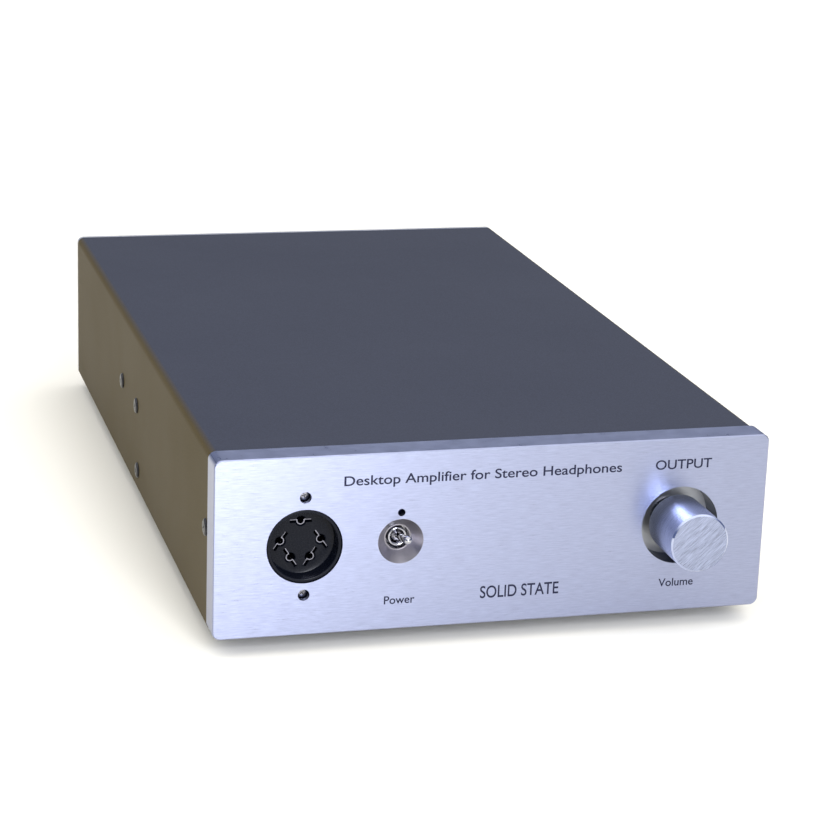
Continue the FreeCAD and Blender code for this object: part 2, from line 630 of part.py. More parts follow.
def pot_nut():
    nut = hex_nut(POT_BUSHING_RADIUS + SCREW_FIT, POT_NUT)
    return aim(nut, (KNOB_X, CASE_Y - POT_WASHER_THICK, CONTROL_Z), (0, -1, 0))


def pot_pins():
    """Two rows of three solder pins under the block."""
    length = POT_PIN[2]
    bottom = CONTROL_Z - POT_SIZE / 2 - length
    return group(standing(KNOB_X + column * POT_SIZE / 4, UPSTAND_Y + row * POT_DEPTH / 3,
                          bottom, POT_PIN)
                 for row in (1, 2) for column in (-1, 0, 1))


# ---------------------------------------------------------------- power switch
def toggle_cross_pin(gap):
    """The pin on which the lever's ball swings, or its hole when given a gap."""
    reach = TOGGLE_THROAT + TOGGLE_PIN_BITE + gap
    return rod_x(TOGGLE_PIVOT.y, TOGGLE_PIVOT.z, TOGGLE_PIN + gap,
                 TOGGLE_X - reach, TOGGLE_X + reach)


def toggle_lever():
    """Lever on its ball, standing up from the level line, with a round tip."""
    tilt = math.radians(TOGGLE_TILT)
    way = V(0, -math.cos(tilt), math.sin(tilt))
    stem = Part.makeCone(TOGGLE_NECK, TOGGLE_SHOULDER, TOGGLE_REACH, TOGGLE_PIVOT, way)
    return fuse([Part.makeSphere(TOGGLE_BALL, TOGGLE_PIVOT), stem,
                 Part.makeSphere(TOGGLE_TIP, TOGGLE_PIVOT + way * TOGGLE_REACH),
                 Part.makeCylinder(TOGGLE_NECK, TOGGLE_TAIL, TOGGLE_PIVOT, way * -1),
                 toggle_cross_pin(0)])


def toggle_bushing():
    """Threaded sleeve with a flared mouth; the lever's ball sits in its throat."""
    sleeve = rod_y(TOGGLE_X, CONTROL_Z, TOGGLE_BUSHING_RADIUS, TOGGLE_MOUTH_Y, UPSTAND_Y)
    throat = rod_y(TOGGLE_X, CONTROL_Z, TOGGLE_THROAT, TOGGLE_MOUTH_Y, UPSTAND_Y)
    flare = Part.makeCone(TOGGLE_BUSHING_RADIUS - TOGGLE_LIP, TOGGLE_THROAT, TOGGLE_FLARE,
                          V(TOGGLE_X, TOGGLE_MOUTH_Y, CONTROL_Z), V(0, 1, 0))
    return cut(sleeve, [throat, flare, toggle_cross_pin(TOGGLE_PIN_FIT)])


def toggle_nut():
    nut = hex_nut(TOGGLE_BUSHING_RADIUS + SCREW_FIT, (TOGGLE_NUT_FLATS, TOGGLE_NUT_THICK))
    return aim(nut, (TOGGLE_X, CASE_Y, CONTROL_Z), (0, -1, 0))


def toggle_body():
    """Switch block with a slot in which the lever's tail swings."""
    body = block(TOGGLE_X, UPSTAND_Y, CONTROL_Z, TOGGLE_BODY)
    slot = (TOGGLE_SLOT, TOGGLE_BODY[1] / 2, 2 * TOGGLE_THROAT)
    return body.cut(block(TOGGLE_X, UPSTAND_Y, CONTROL_Z, slot))


def toggle_terminals():
    """Two columns of three lugs behind the switch block."""
    width, depth = TOGGLE_BODY[:2]
    back = UPSTAND_Y + depth
    eye_y = back + TOGGLE_LUG[1] - TOGGLE_LUG[2] / 2
    lugs = []
    for x in (TOGGLE_X - width / 4, TOGGLE_X + width / 4):
        for row in (-1, 0, 1):
            z = CONTROL_Z + row * TOGGLE_LUG_PITCH
            lug = block(x, back, z, TOGGLE_LUG)
            lugs.append(lug.cut(rod_x(eye_y, z, TOGGLE_LUG_HOLE, x - width, x + width)))
    return group(lugs)


def power_led():
    """Round-nosed indicator pushed into the panel from behind."""
    body = rod_y(TOGGLE_X, LED_Z, LED_RADIUS, LED_Y, LED_Y + LED_LENGTH)
    nose = [e for e in body.Edges if e.Closed and e.BoundBox.YMax < LED_Y + LED_LENGTH / 2]
    return body.makeFillet(LED_NOSE, nose)


def led_leads():
    lead = (LED_LEAD, LED_LEAD_LENGTH, LED_LEAD)
    return group(block(TOGGLE_X + side * LED_LEAD_PITCH / 2, LED_Y + LED_LENGTH, LED_Z, lead)
                 for side in (-1, 1))


# ---------------------------------------------------------------- headphone socket
def pin_place(place):
    """Position of a contact on the socket's face."""
    a = math.radians(place)
    return SOCKET_X + PIN_CIRCLE * math.cos(a), CONTROL_Z + PIN_CIRCLE * math.sin(a)


def in_slot(shape, place, slot):
    """Put a shape made along the slot, with Y into the socket, into the slot of a contact."""
    x, z = pin_place(place)
    shape.Placement = FreeCAD.Placement(V(x, SOCKET_FACE_Y, z),
                                        FreeCAD.Rotation(V(0, -1, 0), slot))
    return shape


def socket_body():
    """Round moulding with a deep collar, a flange behind the chassis and five slotted holes."""
    front = FACE_Y + SOCKET_SETBACK
    barrel = rod_y(SOCKET_X, CONTROL_Z, SOCKET_RADIUS, front, UPSTAND_Y + SOCKET_DEPTH)
    height = 2 * (SOCKET_RADIUS + SOCKET_SCREW_OUT + SOCKET_FLANGE_END)
    flange = block(SOCKET_X, UPSTAND_Y, CONTROL_Z, (2 * SOCKET_RADIUS, SOCKET_FLANGE, height))
    body = fuse([barrel, round_ends(flange, SOCKET_FLANGE_END)])
    holes = [rod_y(SOCKET_X, CONTROL_Z, SOCKET_RADIUS - SOCKET_RIM, front, SOCKET_FACE_Y)]
    for place, slot in PINS:
        x, z = pin_place(place)
        holes.append(rod_y(x, z, PIN_HOLE, SOCKET_FACE_Y, SOCKET_FACE_Y + PIN_DEPTH))
        groove = block(0, 0, 0, (SLOT_LENGTH, PIN_DEPTH, SLOT_WIDTH))
        holes.append(in_slot(groove, place, slot))
    holes += [rod_y(x, z, M2 + SCREW_FREE, UPSTAND_Y, UPSTAND_Y + SOCKET_FLANGE)
              for x, z in SOCKET_SCREWS]
    return cut(body, holes)


def socket_contacts():
    """Five sprung leaves: each stands on edge in its slot, against the slot's side."""
    half = SLOT_LENGTH / 2 - LEAF_FIT
    low = LEAF_FIT - SLOT_WIDTH / 2
    leaf = box(-half, half, LEAF_SETBACK, PIN_DEPTH - LEAF_FIT, low, low + LEAF_THICK)
    return group(in_slot(leaf.copy(), place, slot) for place, slot in PINS)


def socket_tails():
    """Solder tags on the back of the socket, one for each contact."""
    back = UPSTAND_Y + SOCKET_DEPTH
    places = [pin_place(place) for place, slot in PINS]
    return group(block(x, back, z, TAG) for x, z in places)


def socket_screws():
    """Cheese-head screws sunk in the panel, above and below the socket."""
    radius, height = SOCKET_HEAD
    head = Part.makeCylinder(radius, height)
    head = head.cut(cross_recess(radius * 0.68, SOCKET_DRIVE_DEPTH, height))
    length = PANEL_THICK - SOCKET_HEAD_SEAT + SHEET + SOCKET_FLANGE + M2_NUT[1] + SCREW_PAST
    screw = with_shank(head, M2, length)
    return group(aim(screw, (x, FACE_Y + SOCKET_HEAD_SEAT, z), (0, -1, 0))
                 for x, z in SOCKET_SCREWS)


def socket_nuts():
    nut = hex_nut(M2, M2_NUT)
    return group(aim(nut, (x, UPSTAND_Y + SOCKET_FLANGE, z), (0, 1, 0))
                 for x, z in SOCKET_SCREWS)


# ---------------------------------------------------------------- mains inlet
def inlet_outline(wall, y0, y1):
    """The opening with its two cut corners, enlarged all round by a wall."""
    width, height = (size + 2 * wall for size in INLET_OPENING)
    outline = block(INLET_X, y0, CONTROL_Z, (width, y1 - y0, height))
    top = edges_along_y(outline, lambda middle: middle.z > CONTROL_Z)
    return outline.makeChamfer(INLET_CORNER, top)


def inlet_pin_bar(x, z, y0, y1):
    width, height = INLET_PIN
    return block(x, y0, z, (width, y1 - y0, height))


def inlet_pin_places():
    """Live and neutral to the sides, earth in the middle and higher."""
    return [(INLET_X + side * INLET_PIN_PITCH, CONTROL_Z + rise * INLET_PIN_STEP)
            for side, rise in ((-1, -1), (0, 1), (1, -1))]


def inlet_body():
    flange = round_ends(block(INLET_X, REAR_Y, CONTROL_Z,
                              (INLET_FLANGE[0], INLET_FLANGE[2], INLET_FLANGE[1])),
                        INLET_FLANGE_CORNER)
    body = fuse([flange, inlet_outline(INLET_WALL, INLET_BACK_Y, INLET_FACE_Y)])
    floor_y = INLET_FACE_Y - INLET_CAVITY
    holes = [inlet_outline(0, floor_y, INLET_FACE_Y)]
    holes += [inlet_pin_bar(x, z, INLET_BACK_Y, floor_y) for x, z in inlet_pin_places()]
    holes += [rod_y(x, CONTROL_Z, M3 + SCREW_FREE, REAR_Y, INLET_FACE_Y) for x in INLET_SCREWS]
    return cut(body, holes)


def inlet_pins():
    return group(inlet_pin_bar(x, z, INLET_BACK_Y - INLET_TAG, REAR_Y + INLET_PIN_OUT)
                 for x, z in inlet_pin_places())


def inlet_screws():
    screw = pan_screw(M3, INLET_FLANGE[2] + REAR_THICK + M3_NUT[1] + SCREW_PAST)
    return group(aim(screw, (x, INLET_FACE_Y, CONTROL_Z), (0, 1, 0)) for x in INLET_SCREWS)


def inlet_nuts():
    nut = hex_nut(M3, M3_NUT)
    return group(aim(nut, (x, REAR_INNER_Y, CONTROL_Z), (0, -1, 0)) for x in INLET_SCREWS)


# ---------------------------------------------------------------- signal jacks and earth
def phono_shell(x):
    """Barrel behind a thicker thread, which passes through the panel from a collar inside."""
    beyond, thick = PHONO_COLLAR
    shell = fuse([rod_y(x, CONTROL_Z, PHONO_RADIUS + beyond, PHONO_COLLAR_Y, REAR_INNER_Y),
                  rod_y(x, CONTROL_Z, PHONO_THREAD, REAR_INNER_Y, REAR_Y + PHONO_NUT_THICK),
                  rod_y(x, CONTROL_Z, PHONO_RADIUS, REAR_Y, PHONO_END_Y)])
    return shell.cut(rod_y(x, CONTROL_Z, PHONO_BORE, PHONO_COLLAR_Y, PHONO_END_Y))


def phono_shells():
    return group(phono_shell(x) for x in PHONO_XS)


def phono_insert(x):
    """Coloured insulator that fills the barrel, with the hole for the plug's pin."""
    face_y = PHONO_END_Y - PHONO_INSERT_SETBACK
    insert = fuse([rod_y(x, CONTROL_Z, PHONO_BORE - SCREW_FIT, PHONO_BACK_Y, face_y),
                   rod_y(x, CONTROL_Z, PHONO_RADIUS, PHONO_BACK_Y, PHONO_COLLAR_Y)])
    return cut(insert, [rod_y(x, CONTROL_Z, PHONO_PIN_BORE, PHONO_PIN_Y, face_y),
                        rod_y(x, CONTROL_Z, PHONO_CONTACT + SCREW_FIT, PHONO_BACK_Y,
                              PHONO_PIN_Y)])


def phono_inserts(xs):
    return group(phono_insert(x) for x in xs)


def phono_contacts():
    """Centre contacts behind the pin's hole, each with a tail for its wire."""
    return group(rod_y(x, CONTROL_Z, PHONO_CONTACT, PHONO_BACK_Y - PHONO_CONTACT_TAIL,
                       PHONO_PIN_Y) for x in PHONO_XS)


def phono_nuts():
    nut = hex_nut(PHONO_THREAD + SCREW_FIT, (PHONO_NUT_FLATS, PHONO_NUT_THICK))
    return group(aim(nut, (x, REAR_Y, CONTROL_Z), (0, 1, 0)) for x in PHONO_XS)


def ground_post():
    """Earth terminal: stud through the rear panel with its inner head."""
    radius, thick = GROUND_HEAD
    return fuse([rod_y(GROUND_X, GROUND_Z, M4 - SCREW_FIT, REAR_INNER_Y, REAR_Y + GROUND_STUD),
                 rod_y(GROUND_X, GROUND_Z, radius, REAR_INNER_Y - thick, REAR_INNER_Y)])


def ground_nut():
    """Finger nut with flutes round its rim."""
    radius, thick = GROUND_NUT
    end = REAR_Y + thick
    circle = radius + GROUND_FLUTE / 2
    angles = [2 * math.pi * i / GROUND_FLUTES for i in range(GROUND_FLUTES)]
    flutes = [rod_y(GROUND_X + circle * math.cos(a), GROUND_Z + circle * math.sin(a),
                    GROUND_FLUTE, REAR_Y, end) for a in angles]
    nut = rod_y(GROUND_X, GROUND_Z, radius, REAR_Y, end)
    return cut(nut, flutes + [rod_y(GROUND_X, GROUND_Z, M4, REAR_Y, end)])


# ---------------------------------------------------------------- power supply
def transformer_winding():
    """Ring core with its winding: one rounded ring."""
    top = CORE_Z + CORE_HEIGHT
    ring = rod_z(CORE_X, CORE_Y, CORE_RADIUS, CORE_Z, top)
    ring = ring.cut(rod_z(CORE_X, CORE_Y, CORE_HOLE, CORE_Z, top))
    rims = [e for e in ring.Edges if e.Curve.TypeId == "Part::GeomCircle"]
    return ring.makeFillet(CORE_ROUND, rims)


def clamp_disc(z0, thick):
    """A disc as wide as the flat of the winding, with the hole for the bolt."""
    disc = rod_z(CORE_X, CORE_Y, CORE_RADIUS - CORE_ROUND, z0, z0 + thick)
    return disc.cut(rod_z(CORE_X, CORE_Y, M6 + SCREW_FREE, z0, z0 + thick))


def transformer_pads():
    return group(clamp_disc(z0, PAD_THICK) for z0 in (FLOOR_Z, CORE_Z + CORE_HEIGHT))


def transformer_bolt():
    """Bolt from under the chassis up through the core."""
    head = aim(hexagon(M6_NUT[0], M6_HEAD), (CORE_X, CORE_Y, BASE_Z), (0, 0, -1))
    top = CLAMP_Z + CLAMP_THICK + M6_NUT[1] + SCREW_PAST
    return fuse([head, rod_z(CORE_X, CORE_Y, M6 - SCREW_FIT, BASE_Z, top)])


def transformer_nut():
    return aim(hex_nut(M6, M6_NUT), (CORE_X, CORE_Y, CLAMP_Z + CLAMP_THICK), (0, 0, 1))


# ---------------------------------------------------------------- circuit board
def standoff_places():
    x = BOARD_HALF - BOARD_INSET
    y0, y1 = BOARD_Y0 + BOARD_INSET, BOARD_Y1 - BOARD_INSET
    middle = SINK_START_Y - MID_STANDOFF_AHEAD
    return [(sx * x, y) for sx in (-1, 1) for y in (y0, middle, y1)]


def main_board():
    board = box(-BOARD_HALF, BOARD_HALF, BOARD_Y0, BOARD_Y1, BOARD_Z, BOARD_TOP)
    holes = [rod_z(x, y, M3 + SCREW_FREE, BOARD_Z, BOARD_TOP) for x, y in standoff_places()]
    for side in (-1, 1):
        for x, y in transistor_places(side):
            holes += [rod_z(x, leg_y, LEG_HOLE, BOARD_Z, BOARD_TOP) for leg_y in leg_rows(y)]
    return cut(board, holes)


def board_standoffs():
    post = hex_nut(M3, (M3_NUT[0], BOARD_LIFT))
    return group(aim(post, (x, y, FLOOR_Z), (0, 0, 1)) for x, y in standoff_places())


def board_screws():
    """Screws from above, each nearly half way down its standoff."""
    screw = pan_screw(M3, BOARD_THICK + BOARD_LIFT / 2 - SCREW_PAST)
    return group(aim(screw, (x, y, BOARD_TOP), (0, 0, 1)) for x, y in standoff_places())


def standoff_screws():
    """Screws from under the chassis, each nearly half way up its standoff."""
    screw = low_screw(M3, SHEET + BOARD_LIFT / 2 - SCREW_PAST)
    return group(aim(screw, (x, y, BASE_Z), (0, 0, -1)) for x, y in standoff_places())


def row_of(count, pitch, middle=0.0):
    """Evenly spaced positions about a middle."""
    return [middle + (i - (count - 1) / 2) * pitch for i in range(count)]


def reservoir_capacitor(x):
    can = rod_z(x, CAN_Y, CAN_RADIUS, BOARD_TOP, BOARD_TOP + CAN_HEIGHT)
    rim = [e for e in can.Edges if e.Closed and e.BoundBox.ZMin > BOARD_TOP]
    return can.makeFillet(CAN_ROUND, rim)


def reservoir_capacitors():
    """Large cans in a row across the rear of the board."""
    return group(reservoir_capacitor(x) for x in row_of(CAN_COUNT, 2 * CAN_RADIUS + CAN_GAP))


def film_capacitors():
    """Coupling capacitors near the front of the board, standing on edge."""
    width, depth = FILM_BLOCK[:2]
    y = BOARD_Y0 + FILM_START + depth / 2
    return group(standing(x, y, BOARD_TOP, FILM_BLOCK)
                 for x in row_of(FILM_COUNT, width + FILM_GAP))


def output_relays():
    """Two relays that join the outputs to the socket after the supply has settled."""
    width, depth = RELAY[:2]
    y = BOARD_Y0 + FILM_START + FILM_BLOCK[1] + RELAY_BEHIND + depth / 2
    return group(standing(x, y, BOARD_TOP, RELAY)
                 for x in row_of(2, width + RELAY_GAP, RELAY_X))


def rectifier_bridge():
    """Bridge rectifier block in front of the reservoir capacitors."""
    y = CAN_Y - CAN_RADIUS - BRIDGE_GAP - BRIDGE[1] / 2
    return standing(0, y, BOARD_TOP, BRIDGE)


# ---------------------------------------------------------------- heatsinks
def transistor_places(side):
    """The two output transistors against one heatsink's inner face."""
    x = side * (WALL_HALF - SINK_THICK - TRANSISTOR[1] / 2)
    return [(x, SINK_Y + step * SINK_LENGTH / 4) for step in (-1, 1)]


def leg_rows(y):
    return row_of(3, LEG_PITCH, y)


def heatsink(side):
    """Bar bolted to the inside of the cover's wall, with slots across its top."""
    inner = WALL_HALF - SINK_THICK
    bar = between(side, WALL_HALF, inner, SINK_START_Y, SINK_START_Y + SINK_LENGTH,
                  SINK_Z, SINK_Z + SINK_HEIGHT)
    slot_z = SINK_Z + SINK_HEIGHT - SINK_SLOT[2]
    holes = [standing(side * (WALL_HALF + inner) / 2, y, slot_z, SINK_SLOT)
             for y in row_of(SLOT_COUNT, SINK_LENGTH / SLOT_COUNT, SINK_Y)]
    holes += [rod_x(y, z, M3, side * WALL_HALF, side * (WALL_HALF - SINK_TAP))
              for y, z in SINK_SCREWS]
    holes += [rod_x(y, PACKAGE_SCREW_Z, M3, side * inner, side * (inner + SINK_INNER_TAP))
              for x, y in transistor_places(side)]
    return cut(bar, holes)


def output_transistor(x, y):
    """Flat package with three legs down through the board."""
    width, thick, height = TRANSISTOR
    package = standing(x, y, PACKAGE_Z, (thick, width, height))
    package = package.cut(rod_x(y, PACKAGE_SCREW_Z, M3 + SCREW_FREE, x - thick, x + thick))
    low = BOARD_Z - LEG_PAST
    legs = [standing(x, leg_y, low, (LEG, LEG, PACKAGE_Z - low)) for leg_y in leg_rows(y)]
    return fuse([package] + legs)


def output_transistors():
    return group(output_transistor(x, y) for side in (-1, 1) for x, y in transistor_places(side))


def transistor_screws():
    screw = pan_screw(M3, TRANSISTOR[1] + SINK_INNER_TAP - SCREW_PAST)
    face = TRANSISTOR[1] / 2
    return group(aim(screw, (x - side * face, y, PACKAGE_SCREW_Z), (-side, 0, 0))
                 for side in (-1, 1) for x, y in transistor_places(side))


# ---------------------------------------------------------------- held leads
def cable(points, radius):
    """A held lead: straight runs joined by tangent arcs, as round as the runs allow."""
    corners = [V(*p) for p in points]
    edges = []
    start = corners[0]
    for before, corner, after in zip(corners, corners[1:], corners[2:]):
        run_in = corner - before
        run_out = after - corner
        reach = 0.45 * min(run_in.Length, run_out.Length)
        bend_start = corner - run_in.normalize() * reach
        bend_end = corner + run_out.normalize() * reach
        bend = reach / math.tan(run_in.getAngle(run_out) / 2)
        inwards = ((bend_start + bend_end) * 0.5 - corner).normalize()
        middle = corner + inwards * (math.hypot(reach, bend) - bend)
        edges.append(Part.LineSegment(start, bend_start).toShape())
        edges.append(Part.Arc(bend_start, middle, bend_end).toShape())
        start = bend_end
    edges.append(Part.LineSegment(start, corners[-1]).toShape())
    ring = Part.Wire(Part.Circle(corners[0], corners[1] - corners[0], radius).toShape())
    return Part.Wire(edges).makePipeShell([ring], True, False)


def mains_cable():
    """Lead from the inlet's live tag along the left wall to the switch at the front."""
    live_x, live_z = inlet_pin_places()[0]
    start_y = INLET_BACK_Y - INLET_TAG
    wall_x = -CHASSIS_HALF + SHEET + PAIR + LEAD_OFF_WALL
    low_z = FLOOR_Z + PAIR + LEAD_OFF_FLOOR
    end_y = UPSTAND_Y + TOGGLE_BODY[1] + TOGGLE_LUG[1]
    points = [(live_x, start_y, live_z),
              (live_x, start_y - 12.0, live_z),
              (wall_x, start_y - 26.0, low_z + 6.0),
              (wall_x + 0.1, start_y - 44.0, low_z),
              (wall_x, BOARD_Y0, low_z + 0.3),
              (wall_x + 10.0, end_y + 22.0, low_z + 3.0),
              (TOGGLE_X - 8.0, end_y + 14.0, CONTROL_Z - 12.0),
              (TOGGLE_X, end_y + 9.0, CONTROL_Z),
              (TOGGLE_X, end_y, CONTROL_Z)]
    return cable(points, PAIR)


def input_cable():
    """Screened lead from the signal jacks forward to the potentiometer."""
    wall_x = CHASSIS_HALF - SHEET - PAIR - LEAD_OFF_WALL
    start_y = PHONO_BACK_Y - PHONO_CONTACT_TAIL
    low_z = FLOOR_Z + PAIR + LEAD_OFF_FLOOR
    pot_back = UPSTAND_Y + POT_DEPTH
    points = [(PHONO_XS[0], start_y, CONTROL_Z),
              (PHONO_XS[0], start_y - 12.0, CONTROL_Z),
              (wall_x, start_y - 30.0, low_z + 8.0),
              (wall_x - 0.1, start_y - 50.0, low_z),
              (wall_x, BOARD_Y0 + 4.0, low_z + 0.3),
              (KNOB_X + 6.0, pot_back + 4.0, low_z + 1.0),
              (KNOB_X, pot_back - POT_DEPTH / 4, low_z - 0.7)]
    return cable(points, PAIR)


# ---------------------------------------------------------------- export
NODES = {
    "front_panel": front_panel,
    "chassis": chassis,
    "cover": cover,
    "rear_panel": rear_panel,
    "panel_screws": panel_screws,
    "cover_screws": lambda: side_screws(COVER_SCREWS, COVER_THICK + SHEET + COVER_SCREW_PAST),
    "rear_panel_screws": rear_panel_screws,
    "feet": feet,
    "foot_screws": foot_screws,
    "volume_knob": volume_knob,
    "knob_set_screw": knob_set_screw,
    "pot_shaft": pot_shaft,
    "pot_bushing": pot_bushing,
    "pot_body": pot_body,
    "pot_washer": pot_washer,
    "pot_nut": pot_nut,
    "pot_pins": pot_pins,
    "toggle_lever": toggle_lever,
    "toggle_bushing": toggle_bushing,
    "toggle_nut": toggle_nut,
    "toggle_body": toggle_body,
    "toggle_terminals": toggle_terminals,
    "power_led": power_led,
    "led_leads": led_leads,
    "socket_body": socket_body,
    "socket_contacts": socket_contacts,
    "socket_tails": socket_tails,
    "socket_screws": socket_screws,
    "socket_nuts": socket_nuts,
    "inlet_body": inlet_body,
    "inlet_pins": inlet_pins,
    "inlet_screws": inlet_screws,
    "inlet_nuts": inlet_nuts,
    "phono_shells": phono_shells,
    "phono_inserts_right": lambda: phono_inserts(PHONO_XS[0::2]),
    "phono_inserts_left": lambda: phono_inserts(PHONO_XS[1::2]),
    "phono_contacts": phono_contacts,
    "phono_nuts": phono_nuts,
    "ground_post": ground_post,
    "ground_nut": ground_nut,
    "transformer_winding": transformer_winding,
    "transformer_pads": transformer_pads,
    "transformer_plate": lambda: clamp_disc(CLAMP_Z, CLAMP_THICK),
    "transformer_bolt": transformer_bolt,
    "transformer_nut": transformer_nut,
    "main_board": main_board,
    "board_standoffs": board_standoffs,
    "board_screws": board_screws,
    "standoff_screws": standoff_screws,
    "reservoir_capacitors": reservoir_capacitors,
    "film_capacitors": film_capacitors,
    "rectifier_bridge": rectifier_bridge,
    "output_relays": output_relays,
    "heatsink_left": lambda: heatsink(-1),
    "heatsink_right": lambda: heatsink(1),
    "heatsink_screws": lambda: side_screws(SINK_SCREWS, COVER_THICK + SINK_TAP - SCREW_PAST),
    "output_transistors": output_transistors,
    "transistor_screws": transistor_screws,
    "mains_cable": mains_cable,
    "input_cable": input_cable,
}


def main():
    os.makedirs("parts", exist_ok=True)
    for name, make in NODES.items():
        make().exportStep(os.path.join("parts", name + ".step"))


main()
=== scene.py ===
import json
import math

import bpy
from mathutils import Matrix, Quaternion, Vector


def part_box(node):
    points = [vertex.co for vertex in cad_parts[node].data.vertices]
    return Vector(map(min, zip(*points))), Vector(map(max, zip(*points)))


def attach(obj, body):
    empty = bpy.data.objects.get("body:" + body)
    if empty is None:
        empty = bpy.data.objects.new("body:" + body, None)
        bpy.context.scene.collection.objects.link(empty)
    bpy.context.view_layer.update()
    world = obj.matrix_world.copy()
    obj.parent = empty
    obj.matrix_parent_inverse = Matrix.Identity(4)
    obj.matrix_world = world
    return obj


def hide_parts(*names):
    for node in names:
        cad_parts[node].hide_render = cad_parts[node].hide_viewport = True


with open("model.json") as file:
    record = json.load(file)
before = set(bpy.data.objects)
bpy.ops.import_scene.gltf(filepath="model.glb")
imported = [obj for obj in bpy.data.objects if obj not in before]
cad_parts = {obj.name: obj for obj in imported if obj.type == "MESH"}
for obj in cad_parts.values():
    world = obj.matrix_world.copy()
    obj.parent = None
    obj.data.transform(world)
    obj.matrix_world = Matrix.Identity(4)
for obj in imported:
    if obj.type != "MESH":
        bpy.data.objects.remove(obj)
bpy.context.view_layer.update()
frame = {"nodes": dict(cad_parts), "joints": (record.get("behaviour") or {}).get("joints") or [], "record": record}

bl_info = {
    "name": "Headphone amplifier",
    "version": (1, 0, 0),
    "blender": (4, 5, 0),
    "location": "View3D > Sidebar > Amplifier",
    "description": "Finishes and fine pieces of a desktop headphone amplifier",
    "category": "Object",
}

MM = 0.001
FINE, COARSE = 192, 64    # vertices round a large and a small turned piece

FRONT = (math.pi / 2, 0, 0)      # turns a piece's +Z to the front
BACK = (-math.pi / 2, 0, 0)
DOWN = (math.pi, 0, 0)
LEFT = (0, -math.pi / 2, 0)
RIGHT = (0, math.pi / 2, 0)
UP = (0, 0, 0)

GAP = 0.01 * MM           # how far a cutter stands past the face that it cuts
TINY = 1e-6               # points closer than this are one
SPREAD = (0.3, 0.7)       # where most of a noise's values lie
SHARP = (0.35, 0.65)      # a narrower range, for more contrast
FAINT = 0.004             # depth of fine marks in millimetres
SMOOTHER, ROUGHER = 0.85, 1.2    # a finish's least and greatest roughness, over its typical one


# ---- places from the frame
def low(node):
    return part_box(node)[0]


def high(node):
    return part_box(node)[1]


def middle(node):
    return (low(node) + high(node)) / 2


def solids(node):
    """Lowest and highest corner of each separate solid in a CAD node, in order of X, Y and Z."""
    mesh = frame["nodes"][node].data
    key = [tuple(round(c * 1e6) for c in v.co) for v in mesh.vertices]
    parent = {k: k for k in key}

    def root(k):
        while parent[k] != k:
            parent[k] = parent[parent[k]]
            k = parent[k]
        return k

    for face in mesh.polygons:
        first = root(key[face.vertices[0]])
        for i in face.vertices[1:]:
            parent[root(key[i])] = first
    groups = {}
    for k in key:
        groups.setdefault(root(k), []).append(k)
    boxes = []
    for points in groups.values():
        columns = list(zip(*points))
        boxes.append((Vector([min(c) * 1e-6 for c in columns]),
                      Vector([max(c) * 1e-6 for c in columns])))
    return sorted(boxes, key=lambda b: tuple(round(c, 5) for c in b[0]))


def repeated(node):
    """The boxes of a node's equal solids, and the two corners of the first."""
    boxes = solids(node)
    return boxes, *boxes[0]


SLOT_OF = {part["node"]: part["material_slot"] for part in frame["record"]["subparts"]}
PANEL_LOW, PANEL_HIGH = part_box("front_panel")
FACE_Y = PANEL_LOW.y
CONTROL_Z = middle("front_panel").z
SIDE_X = high("cover").x
LEVER_PIVOT = Vector(next(j for j in frame["joints"] if j["name"] == "power_lever_tilt")["pos_m"])


# ---- settings
def mm(name, description, millimetres):
    return bpy.props.FloatProperty(name=name, description=description, unit="LENGTH",
                                   default=millimetres * MM, precision=5)


def angle(name, description, degrees):
    return bpy.props.FloatProperty(name=name, description=description, subtype="ANGLE",
                                   default=math.radians(degrees))


def colour(name, description, rgb):
    return bpy.props.FloatVectorProperty(name=name, description=description, subtype="COLOR",
                                         size=3, min=0, max=1, default=rgb)


def number(name, description, value):
    return bpy.props.FloatProperty(name=name, description=description, default=value)


def words(name, description, text):
    return bpy.props.StringProperty(name=name, description=description, default=text)


class CaseSettings(bpy.types.PropertyGroup):
    paint: colour("Cover paint", "Satin paint of the cover", (0.027, 0.031, 0.050))
    # painted reflection: the side tone stands in for warm light from the floor and room reflected in the cover's
    # two sides
    side: colour("Side tone", "Warmer tone of the cover's two sides", (0.072, 0.050, 0.012))
    metal: colour("Panel metal", "Anodised metal of the front panel", (0.315, 0.34, 0.47))
    # painted shade: the hole walls are coloured far darker than the panel's face, for the shade inside the holes
    wall: colour("Hole walls", "Metal of the walls in the panel's holes", (0.05, 0.06, 0.10))
    turned: colour("Dish metal", "Metal of the turned dish", (0.26, 0.25, 0.28))
    grain: mm("Grain", "Typical height of one brushed line on the panel", 0.16)
    dish: mm("Dish", "Radius of the turned dish round the lever", 7.25)


class KnobSettings(bpy.types.PropertyGroup):
    metal: colour("Knob metal", "Anodised metal of the knob", (0.40, 0.44, 0.60))
    edge: mm("Edge", "Width of the polished edge round the knob's face", 0.5)
    back_edge: mm("Back edge", "Radius of the knob's back edge", 0.4)
    hollow: mm("Hollow", "Depth of the hollow in the knob's back", 3.0)
    skirt: mm("Skirt", "Wall round that hollow", 1.6)
    shaft: mm("Shaft", "Radius of the bore for the shaft", 3.02)
    grip: mm("Grip", "Length of the bore beyond the hollow", 13.0)
    grub: mm("Set screw", "Radius of the set screw's hole", 1.5)
    brushing: angle("Brushing", "Slant of the lines on the knob's face", 42)


